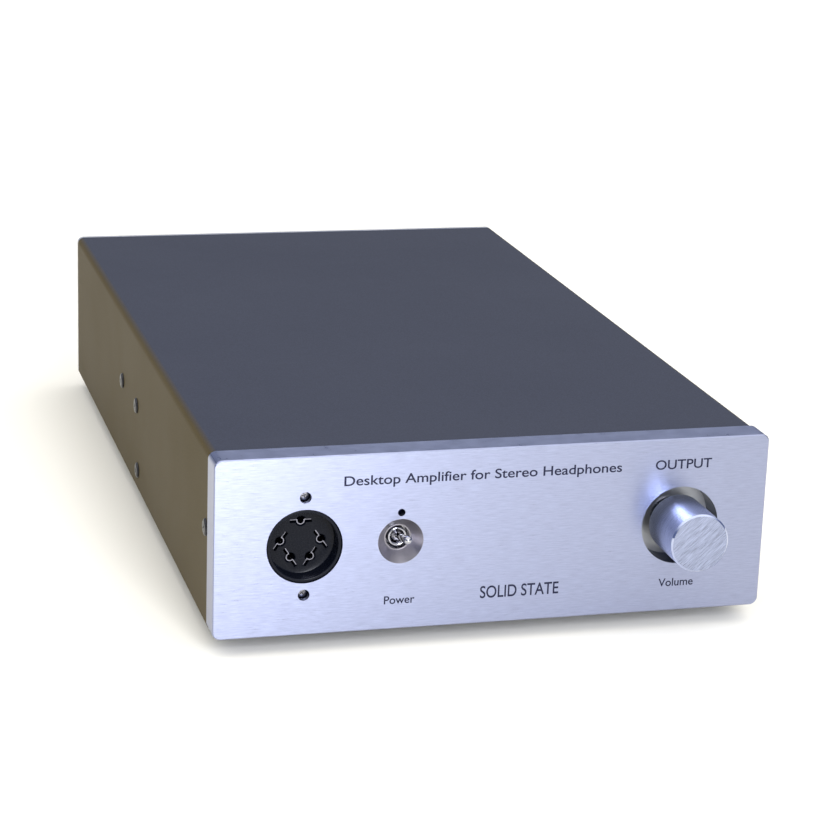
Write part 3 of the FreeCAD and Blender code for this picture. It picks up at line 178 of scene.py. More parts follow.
class SwitchSettings(bpy.types.PropertyGroup):
    tilt: angle("Tilt", "Lever above the level line", 12.5)
    reach: mm("Reach", "Pivot to the middle of the lever's tip", 14.6)
    ball: mm("Ball", "Radius of the lever's ball", 1.9)
    tip: mm("Tip", "Radius of the lever's tip", 1.35)
    neck: mm("Neck", "Radius of the lever beside the ball", 0.85)
    tail: mm("Tail", "Lever behind the pivot", 3.4)
    pin: mm("Cross pin", "Radius of the pin through the ball", 0.45)
    pin_reach: mm("Cross pin's reach", "Pivot to the end of the pin", 2.7)
    throat: mm("Throat", "Radius inside the bushing", 2.1)
    roll: mm("Rolled mouth", "Radius of the bushing's rolled mouth", 0.42)
    pitch: mm("Thread", "Pitch of the bushing's thread", 0.5)
    thread: mm("Thread depth", "Depth of the bushing's thread", 0.2)


class SocketSettings(bpy.types.PropertyGroup):
    collar: mm("Collar", "Wall of the collar round the recess", 1.1)
    recess: mm("Recess", "Depth of the recess", 5.7)
    edge: mm("Edge", "Radius of the collar's edge", 0.3)
    flange: mm("Flange", "Thickness of the plate behind the chassis", 2.2)
    circle: mm("Circle", "Radius of the circle of contacts", 6.35)
    hole: mm("Hole", "Radius of a contact's hole", 1.55)
    depth: mm("Depth", "Depth of the holes and slots", 9.0)
    slot: mm("Slot", "Length of a slot", 7.0)
    slot_width: mm("Slot width", "Width of a slot", 1.1)
    leaf: mm("Leaf", "Thickness of a contact's leaf", 0.28)
    leaf_reach: mm("Leaf's reach", "Middle of a leaf to its end", 3.35)
    leaf_bow: mm("Leaf's bow", "Radius of the leaf round the hole", 1.15)
    leaf_step: mm("Leaf's step", "Flat ends of a leaf off the slot's middle", 0.35)
    leaf_setback: mm("Leaf's setback", "Leaf behind the face of the moulding", 0.5)


class ScrewSettings(bpy.types.PropertyGroup):
    side_head: mm("Side head", "Radius of a head on the case's sides", 2.775)
    side_crown: mm("Side crown", "Height of those heads", 0.9)
    pan_head: mm("Pan head", "Radius of a head on the back", 2.85)
    pan_crown: mm("Pan crown", "Height of those heads", 1.65)
    sunk_head: mm("Sunk head", "Radius of a head beside the socket", 1.7)
    sunk_crown: mm("Sunk crown", "Height of those heads", 1.6)


class RearSettings(bpy.types.PropertyGroup):
    barrel: mm("Barrel", "Radius of a signal jack's barrel", 4.15)
    barrel_bore: mm("Barrel bore", "Radius inside the barrel", 3.3)
    collar: mm("Collar", "Radius of the jack's collar inside the case", 5.5)
    pin_bore: mm("Pin bore", "Radius of the hole for a plug's pin", 1.65)
    contact_bore: mm("Contact", "Radius of the centre contact", 1.15)
    nut: mm("Jack nut", "Jack nut's thickness", 2.2)
    nut_wall: mm("Jack nut's wall", "Jack nut's flats to the thread", 1.0)
    nut_play: mm("Jack nut's play", "Gap between the jack's thread and its nut", 0.05)
    blade_edge: mm("Blade edge", "Bevel of the inlet's blades", 0.5)
    opening: bpy.props.FloatVectorProperty(
        name="Inlet opening", description="Width and height of the opening of the mains inlet",
        size=2, unit="LENGTH", default=(24.4 * MM, 16.6 * MM), precision=5)
    opening_corner: mm("Opening's corner", "Cut corners of that opening", 5.0)
    opening_wall: mm("Opening's wall", "Wall of the moulding round the opening", 1.5)
    cavity: mm("Cavity", "Depth of the inlet's cavity", 15.5)
    flange_corner: mm("Flange's corner", "Radius of the corners of the inlet's flange", 3.0)
    flange_edge: mm("Flange's edge", "Bevel of the edge of that flange", 0.5)
    screw_hole: mm("Screw hole", "Radius of a screw's hole in that flange", 1.7)


class FootSettings(bpy.types.PropertyGroup):
    taper: mm("Taper", "Foot's radius lost towards the bottom", 1.0)
    edge: mm("Edge", "Radius of the foot's bottom edge", 0.8)
    well: mm("Well", "Radius of the well for the screw", 3.4)
    well_depth: mm("Well depth", "Depth of that well", 3.5)
    hole: mm("Screw hole", "Radius of the screw's hole", 1.7)
    top_edge: mm("Top edge", "Cut edge at the top of the foot", 0.2)


class LetteringSettings(bpy.types.PropertyGroup):
    ink: colour("Ink", "Colour of the printed words", (0.014, 0.015, 0.034))
    thickness: mm("Thickness", "How far the printed words stand off the panel", 0.02)
    label_height: mm("Label height", "Capital height of the words under the controls", 2.65)
    label_base: mm("Label base", "Their base line above the panel's lower edge", 8.4)
    title_height: mm("Title height", "Capital height of the line along the top", 3.1)
    title_base: mm("Title base", "Its base line above the panel's lower edge", 48.0)
    title_left: mm("Title left", "Left end of that line, from the panel's left edge", 40.4)
    title_width: mm("Title width", "Length of that line", 90.0)
    title: words("Title", "Words along the top of the panel",
                 "Desktop Amplifier for Stereo Headphones")
    switch: words("Switch label", "Word under the power switch", "Power")
    volume: words("Volume label", "Word under the volume knob", "Volume")
    level: words("Knob heading", "Word over the volume knob", "OUTPUT")
    level_width: mm("Heading width", "Length of the word over the knob", 19.0)
    kind: words("Plain mark", "Large word low on the panel", "SOLID STATE")
    kind_height: mm("Mark height", "Capital height of the large word", 4.0)
    kind_at: mm("Mark place", "Middle of the large word, from the panel's left edge", 98.4)
    kind_width: mm("Mark width", "Length of the large word", 26.0)


class StageSettings(bpy.types.PropertyGroup):
    camera_place: bpy.props.FloatVectorProperty(
        name="Camera place", description="Where the camera stands", subtype="XYZ", size=3,
        unit="LENGTH", default=(-0.2255, -0.8561, 0.2960), precision=5)
    azimuth: angle("Azimuth", "Turn of the view to the right of straight ahead", 15.76)
    drop: angle("Drop", "Angle by which the view looks down", 16.83)
    roll: angle("Roll", "Turn of the camera about its own line of sight", 2.07)
    lens: number("Lens", "Focal length in millimetres for the sensor's width", 107.35)
    floor: colour("Floor", "Colour of the floor", (0.93, 0.90, 0.81))
    sky: number("Sky", "Strength of the dome of light", 1.72)
    strip: number("Front strip", "Power of the tall light in front, in watts", 9.0)


# ---- modelling helpers
def leave_edit():
    bpy.ops.object.mode_set(mode="OBJECT")


def clear_selection():
    if bpy.context.object and bpy.context.object.mode != "OBJECT":
        leave_edit()
    bpy.ops.object.select_all(action="DESELECT")


def named(name):
    """Name the object that was made last."""
    piece = bpy.context.object
    piece.name = name
    return piece


def pick(piece):
    clear_selection()
    piece.select_set(True)
    bpy.context.view_layer.objects.active = piece


def edit(piece, select="SELECT", mode="VERT"):
    pick(piece)
    bpy.ops.object.mode_set(mode="EDIT")
    bpy.ops.mesh.select_mode(type=mode)
    bpy.ops.mesh.select_all(action=select)


def edit_where(piece, mode, test):
    """Edit a piece with only the vertices, edges or faces selected that pass a test."""
    edit(piece, "DESELECT", mode)
    leave_edit()
    mesh = piece.data
    for element in {"VERT": mesh.vertices, "EDGE": mesh.edges, "FACE": mesh.polygons}[mode]:
        element.select = test(element)
    bpy.ops.object.mode_set(mode="EDIT")


def extrude(*step):
    bpy.ops.mesh.extrude_region_move(TRANSFORM_OT_translate={"value": step})


def bevel_where(piece, mode, test, width, segments):
    """Bevel only the edges, or the edges of only the faces, that pass a test."""
    edit_where(piece, mode, test)
    bpy.ops.mesh.bevel(offset=width, segments=segments, affect="EDGES")
    leave_edit()


def bevel_corners(piece, width, segments, above=-math.inf):
    """Bevel the edges of a block that run along Z and lie above a value of Y."""
    def upright(edge):
        a, b = (piece.data.vertices[i].co for i in edge.vertices)
        return abs(a.z - b.z) > TINY and a.y > above

    bevel_where(piece, "EDGE", upright, width, segments)


def apply_place(piece):
    pick(piece)
    bpy.ops.object.transform_apply(location=True, rotation=True, scale=True)


def settle(piece, smooth_angle=30):
    """Merge doubles, face outwards, smooth and leave edit mode."""
    edit(piece)
    bpy.ops.mesh.remove_doubles(threshold=TINY)
    bpy.ops.mesh.normals_make_consistent(inside=False)
    leave_edit()
    bpy.ops.object.shade_smooth_by_angle(angle=math.radians(smooth_angle))
    return piece


def add_circle(name, radius, height, vertices, fill):
    clear_selection()
    bpy.ops.mesh.primitive_circle_add(vertices=vertices, radius=radius, fill_type=fill,
                                      location=(0, 0, height))
    piece = named(name)
    apply_place(piece)
    return piece


def draw_out(piece, steps, start):
    """Draw the selected ring or disc through the rest of an outline."""
    height, radius = start
    edit(piece)
    for next_height, next_radius in steps:
        extrude(0, 0, next_height - height)
        factor = next_radius / radius
        bpy.ops.transform.resize(value=(factor, factor, 1), center_override=(0, 0, next_height))
        height, radius = next_height, next_radius
    leave_edit()


def turned(name, steps, vertices=COARSE, smooth_angle=30):
    """A closed piece turned about +Z, through (height, radius) steps from cap to cap."""
    piece = add_circle(name, steps[0][1], steps[0][0], vertices, "NGON")
    draw_out(piece, steps[1:], steps[0])
    return settle(piece, smooth_angle)


def ring(name, steps):
    """A turned piece with a hole right through, closed round its outline."""
    piece = add_circle(name, steps[0][1], steps[0][0], COARSE, "NOTHING")
    draw_out(piece, steps[1:] + steps[:1], steps[0])
    return settle(piece, 35)


def arc(height, radius, size, start, end, count=6):
    """Points of a round stretch of outline, by angle from outwards (0) to +Z (90), in degrees."""
    points = []
    for i in range(count + 1):
        a = math.radians(start + (end - start) * i / count)
        points.append((height + size * math.sin(a), radius + size * math.cos(a)))
    return points


def block(name, size, at):
    """A cuboid of the given size about a middle."""
    clear_selection()
    bpy.ops.mesh.primitive_cube_add(size=1, location=at)
    piece = named(name)
    piece.scale = size
    apply_place(piece)
    return piece


def change(piece, kind, **values):
    """Add a modifier, set it up and apply it."""
    pick(piece)
    bpy.ops.object.modifier_add(type=kind)
    modifier = piece.modifiers[-1]
    for name, value in values.items():
        setattr(modifier, name, value)
    bpy.ops.object.modifier_apply(modifier=modifier.name)


def bevel(piece, width, segments=3, above=30):
    """Bevel every edge that is sharper than an angle."""
    change(piece, "BEVEL", width=width, segments=segments, limit_method="ANGLE",
           angle_limit=math.radians(above))


def remove(piece):
    pick(piece)
    bpy.ops.object.delete()


def carve(piece, cutter, operation="DIFFERENCE"):
    """Cut one piece with another, or join them, and use the other up."""
    change(piece, "BOOLEAN", object=cutter, operation=operation, solver="EXACT")
    remove(cutter)


def copy_of(piece):
    pick(piece)
    bpy.ops.object.duplicate(linked=False)
    return bpy.context.object


def seat(piece, at, facing=UP, spin=0.0):
    """Spin a piece about its own axis, turn it to a side, put it in place and apply it all."""
    piece.rotation_euler = (0, 0, spin)
    apply_place(piece)
    piece.rotation_euler = facing
    piece.location = at
    apply_place(piece)
    return piece


def finished(piece, body, slot, *nodes):
    """Give a piece the finish of its slot and hang it under the empty of its body."""
    piece.data.materials.clear()
    piece.data.materials.append(MATERIALS[slot])
    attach(piece, body)
    if nodes:
        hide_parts(*nodes)


def finished_copies(model, name, slot, node, seats):
    """Seat a model and its copies, each with its own mesh, at (place, facing, spin)."""
    pieces = [model] + [copy_of(model) for _ in seats[1:]]
    for number, (piece, place) in enumerate(zip(pieces, seats), 1):
        seat(piece, *place)
        piece.name = "{}_{}".format(name, number)
        finished(piece, "root", slot, node)


# ---- material helpers
MATERIALS = {}


def tones(rgb, *factors):
    """Darker and lighter versions of a colour."""
    return [tuple(min(1, c * k) for c in rgb) for k in factors]


class Finish:
    """A node material under construction, on object coordinates."""

    def __init__(self, slot, base, metallic, roughness, **sockets):
        self.material = bpy.data.materials.new(slot)
        self.material.use_nodes = True
        self.nodes = self.material.node_tree.nodes
        self.links = self.material.node_tree.links
        self.shader = self.nodes["Principled BSDF"]
        self.base = tuple(base)
        self.drive(self.base, "Base Color")
        self.drive(metallic, "Metallic")
        self.drive(roughness, "Roughness")
        for socket, value in sockets.items():
            self.drive(value, socket.replace("_", " "))
        self.place = self.add("TexCoord", {}).outputs["Object"]
        MATERIALS[slot] = self.material

    def join(self, value, socket):
        """Put a number, a vector or a colour in a socket, or link an output to it."""
        if isinstance(value, bpy.types.NodeSocket):
            self.links.new(value, socket)
        else:
            socket.default_value = (*value, 1) if socket.type == "RGBA" else value

    def add(self, kind, inputs, **settings):
        """A new node, with values or links for its inputs by name or by number."""
        node = self.nodes.new("ShaderNode" + kind)
        for name, value in settings.items():
            setattr(node, name, value)
        for key, value in inputs.items():
            self.join(value, node.inputs[key])
        return node

    def drive(self, value, socket):
        self.join(value, self.shader.inputs[socket])

    def stretched(self, scale, about=(0, 0, 0), turn=(0, 0, 0)):
        """Object coordinates about a point, turned and then scaled along each axis."""
        shift = self.add("VectorMath", {0: self.place, 1: about}, operation="SUBTRACT")
        spin = self.add("Mapping", {"Vector": shift.outputs[0], "Rotation": turn})
        return self.add("VectorMath", {0: spin.outputs[0], 1: scale},
                        operation="MULTIPLY").outputs[0]

    def noise(self, vector, detail=4.0, rough=0.55):
        return self.add("TexNoise", {"Vector": vector, "Scale": 1.0, "Detail": detail,
                                     "Roughness": rough}).outputs["Fac"]

    def lines(self, value, pitch_mm):
        """Irregular lines across a distance, such as a tool's marks on turned metal."""
        return self.add("TexNoise", {"W": value, "Scale": 1 / (pitch_mm * MM), "Detail": 4.0},
                        noise_dimensions="1D").outputs["Fac"]

    def even(self, per_metre, detail=4.0):
        """A noise of the same size in every direction."""
        return self.noise(self.stretched([per_metre] * 3), detail)

    def math(self, operation, *values):
        return self.add("Math", dict(enumerate(values)), operation=operation).outputs["Value"]

    def remap(self, value, source, low=0, high=1):
        """Bring a value from a source range to the range from low to high."""
        return self.add("MapRange", {"Value": value, "From Min": source[0], "From Max": source[1],
                                     "To Min": low, "To Max": high}).outputs["Result"]

    def mix(self, factor, first, second, kind="FLOAT"):
        node = self.add("Mix", {}, data_type=kind)
        sockets = [s for s in node.inputs if s.enabled]
        for socket, value in zip(sockets, (factor, first, second)):
            self.join(value, socket)
        return [s for s in node.outputs if s.enabled][0]

    def blend(self, factor, first, second):
        """Mix two colours."""
        return self.mix(factor, first, second, "RGBA")

    def tint(self, factor, darker, lighter):
        """Vary the base colour between two multiples of itself."""
        pair = tones(self.base, darker, lighter)
        self.drive(self.blend(self.remap(factor, SPREAD), *pair), "Base Color")

    def gloss(self, factor, smoother, rougher):
        """Vary the roughness between two values."""
        self.drive(self.remap(factor, SPREAD, smoother, rougher), "Roughness")

    def relief(self, height, millimetres, strength=1.0):
        """Raise and sink the surface by a height."""
        bump = self.add("Bump", {"Height": height, "Distance": millimetres * MM,
                                 "Strength": strength})
        self.drive(bump.outputs["Normal"], "Normal")

    def split(self):
        return self.add("SeparateXYZ", {"Vector": self.place}).outputs

    def stretch_glints(self, amount, *across):
        """Draw highlights out along a direction, across the brushing."""
        self.drive(self.add("CombineXYZ", dict(enumerate(across))).outputs[0], "Tangent")
        self.drive(amount, "Anisotropic")

    def all_of(self, *tests):
        """1 where every test holds: a value below (<) or above (>) its limit."""
        whole = 1.0
        for value, side, limit in tests:
            one = self.math("LESS_THAN" if side == "<" else "GREATER_THAN", value, limit)
            whole = self.math("MULTIPLY", whole, one)
        return whole


def metal(slot, base, roughness, grain=(900, 900, 900), metallic=1.0):
    """Plain metal with fine marks; the grain is lines per metre along X, Y and Z."""
    f = Finish(slot, base, metallic, roughness)
    marks = f.noise(f.stretched(grain), 5)
    f.tint(f.even(60), 0.92, 1.06)
    f.gloss(marks, roughness * SMOOTHER, roughness * ROUGHER)
    f.relief(marks, FAINT)


def moulding(slot, base, roughness, depth=FAINT, pitch=0.6, specular=0.5):
    """Moulded plastic or rubber with a faint even texture."""
    f = Finish(slot, base, 0.0, roughness, Specular_IOR_Level=specular)
    texture = f.even(1 / (pitch * MM))
    f.tint(f.even(40), 0.85, 1.15)
    f.gloss(texture, roughness * SMOOTHER, roughness * ROUGHER)
    f.relief(texture, depth)


def brushed_panel(settings):
    """Anodised panel: level brushing, turned lines in the dish, and painted shade on the walls of its holes."""
    f = Finish("panel_aluminium", settings.metal, 1.0, 0.30)
    line = 1 / settings.grain
    grain = f.noise(f.stretched((520, 500, line)), 6, 0.65)
    streaks = f.noise(f.stretched((200, 200, line / 2)), 6, 0.75)
    place = f.split()
    away_x = f.math("SUBTRACT", place["X"], LEVER_PIVOT.x)
    away_z = f.math("SUBTRACT", place["Z"], CONTROL_Z)
    radius = f.math("SQRT", f.math("ADD", f.math("MULTIPLY", away_x, away_x),
                                   f.math("MULTIPLY", away_z, away_z)))
    dish = f.all_of((radius, "<", settings.dish + 0.05 * MM))
    skin, rim = 0.25 * MM, 0.7 * MM
    # painted shade: this mask picks the walls inside the panel's holes
    hole_shade_mask = f.all_of((place["Y"], ">", FACE_Y + skin), (place["Z"], "<", PANEL_HIGH.z - rim),
                       (place["Z"], ">", PANEL_LOW.z + rim), (place["X"], "<", PANEL_HIGH.x - rim),
                       (place["X"], ">", PANEL_LOW.x + rim))
    face = f.blend(f.remap(streaks, SHARP), *tones(f.base, 0.90, 1.10))
    # painted shade: inside the holes the face colour gives way to the far darker wall colour
    wall = f.blend(hole_shade_mask, face, settings.wall)
    f.drive(f.blend(dish, wall, settings.turned), "Base Color")
    f.gloss(streaks, 0.26, 0.38)
    f.relief(f.mix(dish, grain, f.lines(radius, 0.20)), 0.012, 0.9)
    f.stretch_glints(0.75, f.math("MULTIPLY", away_x, dish), 0.0, f.mix(dish, 1.0, away_z))


def satin_paint(settings):
    """Fine satin paint on the cover, with a painted warm reflection on its two upright sides."""
    f = Finish("cover_paint", settings.paint, 0.0, 0.62, Specular_IOR_Level=0.25)
    speckle = f.even(2200, 3)
    # painted reflection: near the cover's two sides the paint colour gives way to the warm side tone, for light
    # reflected from the floor and room
    side = f.remap(f.math("ABSOLUTE", f.split()["X"]), (SIDE_X - 2.5 * MM, SIDE_X - 0.5 * MM))
    pair = [f.blend(side, *both) for both in zip(tones(settings.paint, 0.75, 1.25),
                                                 tones(settings.side, 0.75, 1.25))]
    f.drive(f.blend(f.remap(speckle, SPREAD), *pair), "Base Color")
    f.gloss(f.even(14), 0.59, 0.66)
    f.relief(speckle, 0.012, 0.9)


def turned_knob(settings):
    """Anodised knob: turned lines round its side, a polished edge, slanting brushing in front."""
    f = Finish("knob_aluminium", settings.metal, 1.0, 0.28)
    face_y = low("volume_knob").y + 0.03 * MM
    along = f.split()["Y"]
    slant = f.stretched((280, 900, 6500), middle("volume_knob"), (0, settings.brushing, 0))
    on_face = f.all_of((along, "<", face_y))
    on_edge = f.all_of((along, ">", face_y), (along, "<", face_y + settings.edge))
    brushing = f.noise(slant, 5, 0.65)
    marks = f.mix(on_face, f.lines(along, 0.12), brushing)
    light, dark, bright = tones(f.base, 1.15, 0.42, 0.80)
    face = f.blend(f.remap(marks, SHARP), dark, bright)
    f.drive(f.blend(on_face, light, face), "Base Color")
    f.drive(f.mix(on_edge, f.remap(marks, SPREAD, 0.24, 0.34), 0.07), "Roughness")
    f.relief(f.mix(on_edge, marks, 0.5), 0.012, 0.9)
    slope = settings.brushing
    f.stretch_glints(0.6, f.math("MULTIPLY", on_face, math.sin(slope)),
                     f.math("SUBTRACT", 1.0, on_face),
                     f.math("MULTIPLY", on_face, -math.cos(slope)))


def chrome():
    f = Finish("switch_chrome", (0.42, 0.42, 0.45), 1.0, 0.08)
    f.gloss(f.even(700), 0.06, 0.12)
    f.relief(f.even(400), 0.002, 0.5)


def wound_tape(tape_turns=34):
    """Overlapping turns of tape round the ring core."""
    f = Finish("core_winding", (0.62, 0.40, 0.07), 0.0, 0.30, Coat_Weight=0.4)
    centre = middle("transformer_winding")
    place = f.split()
    round_core = f.math("ARCTAN2", f.math("SUBTRACT", place["Y"], centre.y),
                        f.math("SUBTRACT", place["X"], centre.x))
    turns = f.math("FRACT", f.math("MULTIPLY", round_core, tape_turns / math.tau))
    f.tint(turns, 0.8, 1.1)
    f.relief(turns, 0.25, 0.8)


def solder_mask():
    """Board lacquer over rows of straight tracks."""
    f = Finish("board_green", (0.02, 0.14, 0.06), 0.0, 0.32)
    tracks = f.add("TexBrick", {"Vector": f.stretched((140, 140, 140)), "Scale": 1.0,
                                "Mortar Size": 0.08}).outputs["Fac"]
    f.tint(tracks, 0.9, 1.5)
    f.relief(tracks, 0.03)


def make_finishes(scene):
    """One procedural material for every material slot of the record."""
    brushed_panel(scene.amplifier_case)
    satin_paint(scene.amplifier_case)
    turned_knob(scene.amplifier_knob)
    chrome()
    wound_tape()
    solder_mask()
    metal("chassis_steel", (0.42, 0.43, 0.45), 0.42, (300, 300, 300))
    metal("rear_aluminium", (0.70, 0.70, 0.72), 0.36, (40, 400, 2600))
    metal("black_screw", (0.045, 0.045, 0.048), 0.30, metallic=0.8)
    metal("steel_screw", (0.26, 0.26, 0.29), 0.24)
    metal("shaft_steel", (0.60, 0.59, 0.58), 0.28, (200, 3000, 200))
    metal("brass_plated", (0.86, 0.62, 0.27), 0.20)
    metal("contact_silver", (0.24, 0.24, 0.29), 0.22)
    metal("sink_black", (0.03, 0.03, 0.03), 0.5, (60, 60, 2500), 0.5)
    moulding("foot_rubber", (0.022, 0.022, 0.023), 0.72, 0.02, 0.7)
    moulding("switch_block", (0.02, 0.03, 0.10), 0.30)
    moulding("led_lens", (0.010, 0.012, 0.03), 0.12)
    moulding("socket_black", (0.003, 0.004, 0.008), 0.26, 0.002, specular=0.14)
    moulding("inlet_black", (0.014, 0.014, 0.015), 0.42, 0.01)
    moulding("insert_red", (0.45, 0.012, 0.012), 0.28)
    moulding("insert_white", (0.75, 0.74, 0.70), 0.28)
    moulding("pad_rubber", (0.03, 0.03, 0.03), 0.8, 0.02)
    moulding("can_sleeve", (0.01, 0.02, 0.07), 0.22)
    moulding("film_block", (0.42, 0.03, 0.02), 0.25, 0.02, 2.0)
    moulding("relay_case", (0.62, 0.60, 0.50), 0.45)
    moulding("package_black", (0.015, 0.015, 0.015), 0.55, 0.01, 0.2)
    moulding("lead_grey", (0.16, 0.16, 0.17), 0.5, 0.01, 1.0)


class AMPLIFIER_OT_finishes(bpy.types.Operator):
    """Give every part of the frame its own finish"""
    bl_idname = "amplifier.finishes"
    bl_label = "Finishes"

    def execute(self, context):
        make_finishes(context.scene)
        for name, node in frame["nodes"].items():
            node.data.materials.clear()
            node.data.materials.append(MATERIALS[SLOT_OF[name]])
        return {"FINISHED"}


# ---- volume knob
class AMPLIFIER_OT_knob(bpy.types.Operator):
    """Turn the volume knob, hollow behind, bored for its shaft and its set screw"""
    bl_idname = "amplifier.knob"
    bl_label = "Volume knob"

    def execute(self, context):
        s = context.scene.amplifier_knob
        start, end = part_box("volume_knob")
        axis = middle("volume_knob")
        radius = (end.x - start.x) / 2
        long = end.y - start.y
        rim = radius - s.skirt
        soft = 0.1 * s.edge
        steps = [(s.hollow + s.grip, s.shaft), (s.hollow, s.shaft), (s.hollow, rim),
                 (soft, rim), (0, rim + soft)]
        steps += arc(s.back_edge, radius - s.back_edge, s.back_edge, -90, 0)
        steps += [(long - s.edge - soft, radius), (long - s.edge, radius - soft / 2),
                  (long - soft, radius - s.edge + soft / 2), (long, radius - s.edge - soft / 2)]
        knob = turned("volume_knob_turned", steps, FINE, 20)
        seat(knob, (axis.x, end.y, axis.z), FRONT)
        hole = turned("set_screw_hole", [(0, s.grub), (2 * radius, s.grub)])
        seat(hole, (axis.x, middle("knob_set_screw").y, axis.z), DOWN)
        carve(knob, hole)
        finished(settle(knob, 20), "volume", "knob_aluminium", "volume_knob")
        return {"FINISHED"}


# ---- power switch
class AMPLIFIER_OT_switch(bpy.types.Operator):
    """Turn the lever and its threaded bushing with a rolled mouth"""
    bl_idname = "amplifier.switch"
    bl_label = "Power switch"

    def execute(self, context):
        make_bushing(context.scene.amplifier_switch)
        make_lever(context.scene.amplifier_switch)
        return {"FINISHED"}


def make_bushing(s):
    """Thread outside, smooth throat inside, and a rolled mouth at the front."""
    start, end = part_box("toggle_bushing")
    radius = (end.x - start.x) / 2
    long = end.y - start.y
    root = radius - s.thread
    steps = [(0, s.throat), (0, root)]
    z = 0.1 * s.pitch
    while z < long - 2.5 * s.roll - s.pitch:
        steps += [(z, root), (z + 0.35 * s.pitch, radius), (z + 0.5 * s.pitch, radius),
                  (z + 0.85 * s.pitch, root)]
        z += s.pitch
    steps += [(long - 2.2 * s.roll, root), (long - 1.6 * s.roll, radius - 0.2 * s.roll)]
    steps += arc(long - s.roll, radius - s.roll, s.roll, 0, 150, 8)
    steps += [(long - 3.5 * s.roll, s.throat + 0.1 * s.roll), (long - 4 * s.roll, s.throat)]
    bushing = ring("toggle_bushing_turned", steps)
    seat(bushing, (LEVER_PIVOT.x, end.y, LEVER_PIVOT.z), FRONT)
    finished(bushing, "root", "switch_chrome", "toggle_bushing")


def make_lever(s):
    """Ball, waisted stem and a round tip turned in one piece, with the cross pin in the ball."""
    steps = [(-s.tail, 0.7 * s.neck), (0.3 * s.neck - s.tail, s.neck)]
    steps += arc(0, 0, s.ball, -62, 62, 16)
    steps += [(1.25 * s.ball, s.neck), (1.7 * s.ball, s.neck), (0.8 * s.reach, 0.9 * s.tip),
              (s.reach - 0.8 * s.tip, 0.93 * s.tip)]
    steps += arc(s.reach, 0, s.tip, -22, 86, 12)
    lever = turned("toggle_lever_turned", steps, COARSE, 50)
    seat(lever, LEVER_PIVOT, (math.pi / 2 - s.tilt, 0, 0))
    edge = 0.2 * s.pin
    pin = turned("cross_pin", [(-s.pin_reach, s.pin - edge), (edge - s.pin_reach, s.pin),
                               (s.pin_reach - edge, s.pin), (s.pin_reach, s.pin - edge)])
    seat(pin, LEVER_PIVOT, RIGHT)
    carve(lever, pin, "UNION")
    finished(settle(lever, 50), "power_lever", "switch_chrome", "toggle_lever")


# ---- headphone socket
# (place round the circle, direction of the slot), degrees, seen from the front
CONTACTS = ((90, 180), (180, 235), (240, 123), (300, 237), (0, 125))


class AMPLIFIER_OT_socket(bpy.types.Operator):
    """Make the socket's moulding, its sprung leaves and the two sunk screws beside it"""
    bl_idname = "amplifier.socket"
    bl_label = "Headphone socket"

    def execute(self, context):
        make_socket_moulding(context.scene.amplifier_socket)
        make_leaves(context.scene.amplifier_socket)
        make_sunk_screws(context.scene.amplifier_screws)
        return {"FINISHED"}


def contact_places(s):
    """Middle of each contact about the socket's axis, and the turn of its slot."""
    for place, slot in CONTACTS:
        a = math.radians(place)
        yield s.circle * math.cos(a), s.circle * math.sin(a), math.radians(slot)


def make_socket_moulding(s):
    start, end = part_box("socket_body")
    axis = middle("socket_body")
    radius = (end.x - start.x) / 2
    long = end.y - start.y
    inside = radius - s.collar
    floor = long - s.recess
    steps = [(0, radius - s.edge), (s.edge, radius)]
    steps += arc(long - s.edge, radius - s.edge, s.edge, 0, 90)
    steps += arc(long - s.edge, inside + s.edge, s.edge, 90, 180)
    steps += [(floor + s.edge, inside), (floor + 0.3 * s.edge, inside - 0.3 * s.edge),
              (floor, inside - s.edge)]
    body = turned("socket_moulding", steps, FINE, 30)
    plate_z = end.y - (low("socket_nuts").y - s.flange / 2)
    plate = block("flange", (2 * radius, end.z - start.z, s.flange), (0, 0, plate_z))
    bevel(plate, s.edge)
    carve(body, plate, "UNION")
    for x, y, turn in contact_places(s):
        bottom = (x, y, floor - s.depth)
        mouth = 0.5 * s.hole
        hole = turned("hole", [(0, s.hole), (s.depth - 0.3 * mouth, s.hole),
                               (s.depth + mouth, s.hole + 1.3 * mouth)])
        carve(body, seat(hole, bottom))
        tall = s.depth + mouth
        groove = block("groove", (s.slot, s.slot_width, tall), (0, 0, tall / 2))
        bevel(groove, 0.1 * s.slot_width, 2)
        carve(body, seat(groove, bottom, UP, turn))
    seat(body, (axis.x, end.y, axis.z), FRONT)
    finished(settle(body, 30), "root", "socket_black", "socket_body")


def make_leaf(s):
    """A strip on edge along its slot, bowed round the hole in the middle."""
    leaf = add_circle("socket_leaf", s.leaf_bow, 0, 48, "NOTHING")
    edit_where(leaf, "VERT", lambda v: v.co.y < -0.3 * s.leaf_bow)
    bpy.ops.mesh.delete(type="VERT")
    for side in (-1, 1):
        leave_edit()
        last = min((v.co.copy() for v in leaf.data.vertices if v.co.x * side > 0),
                   key=lambda co: co.y)
        edit_where(leaf, "VERT", lambda v: (v.co - last).length < TINY)
        step = side * s.leaf_step
        extrude(step, -s.leaf_step - last.y, 0)
        extrude(side * s.leaf_reach - last.x - step, 0, 0)
    bpy.ops.mesh.select_all(action="SELECT")
    extrude(0, 0, s.leaf_setback - s.depth)
    leave_edit()
    change(leaf, "SOLIDIFY", thickness=s.leaf, offset=0)
    return settle(leaf, 30)


def make_leaves(s):
    axis = middle("socket_body")
    leaf_y = low("socket_body").y + s.recess + s.leaf_setback
    seats = [((axis.x + x, leaf_y, axis.z + z), FRONT, turn)
             for x, z, turn in contact_places(s)]
    finished_copies(make_leaf(s), "socket_leaf", "contact_silver", "socket_contacts", seats)


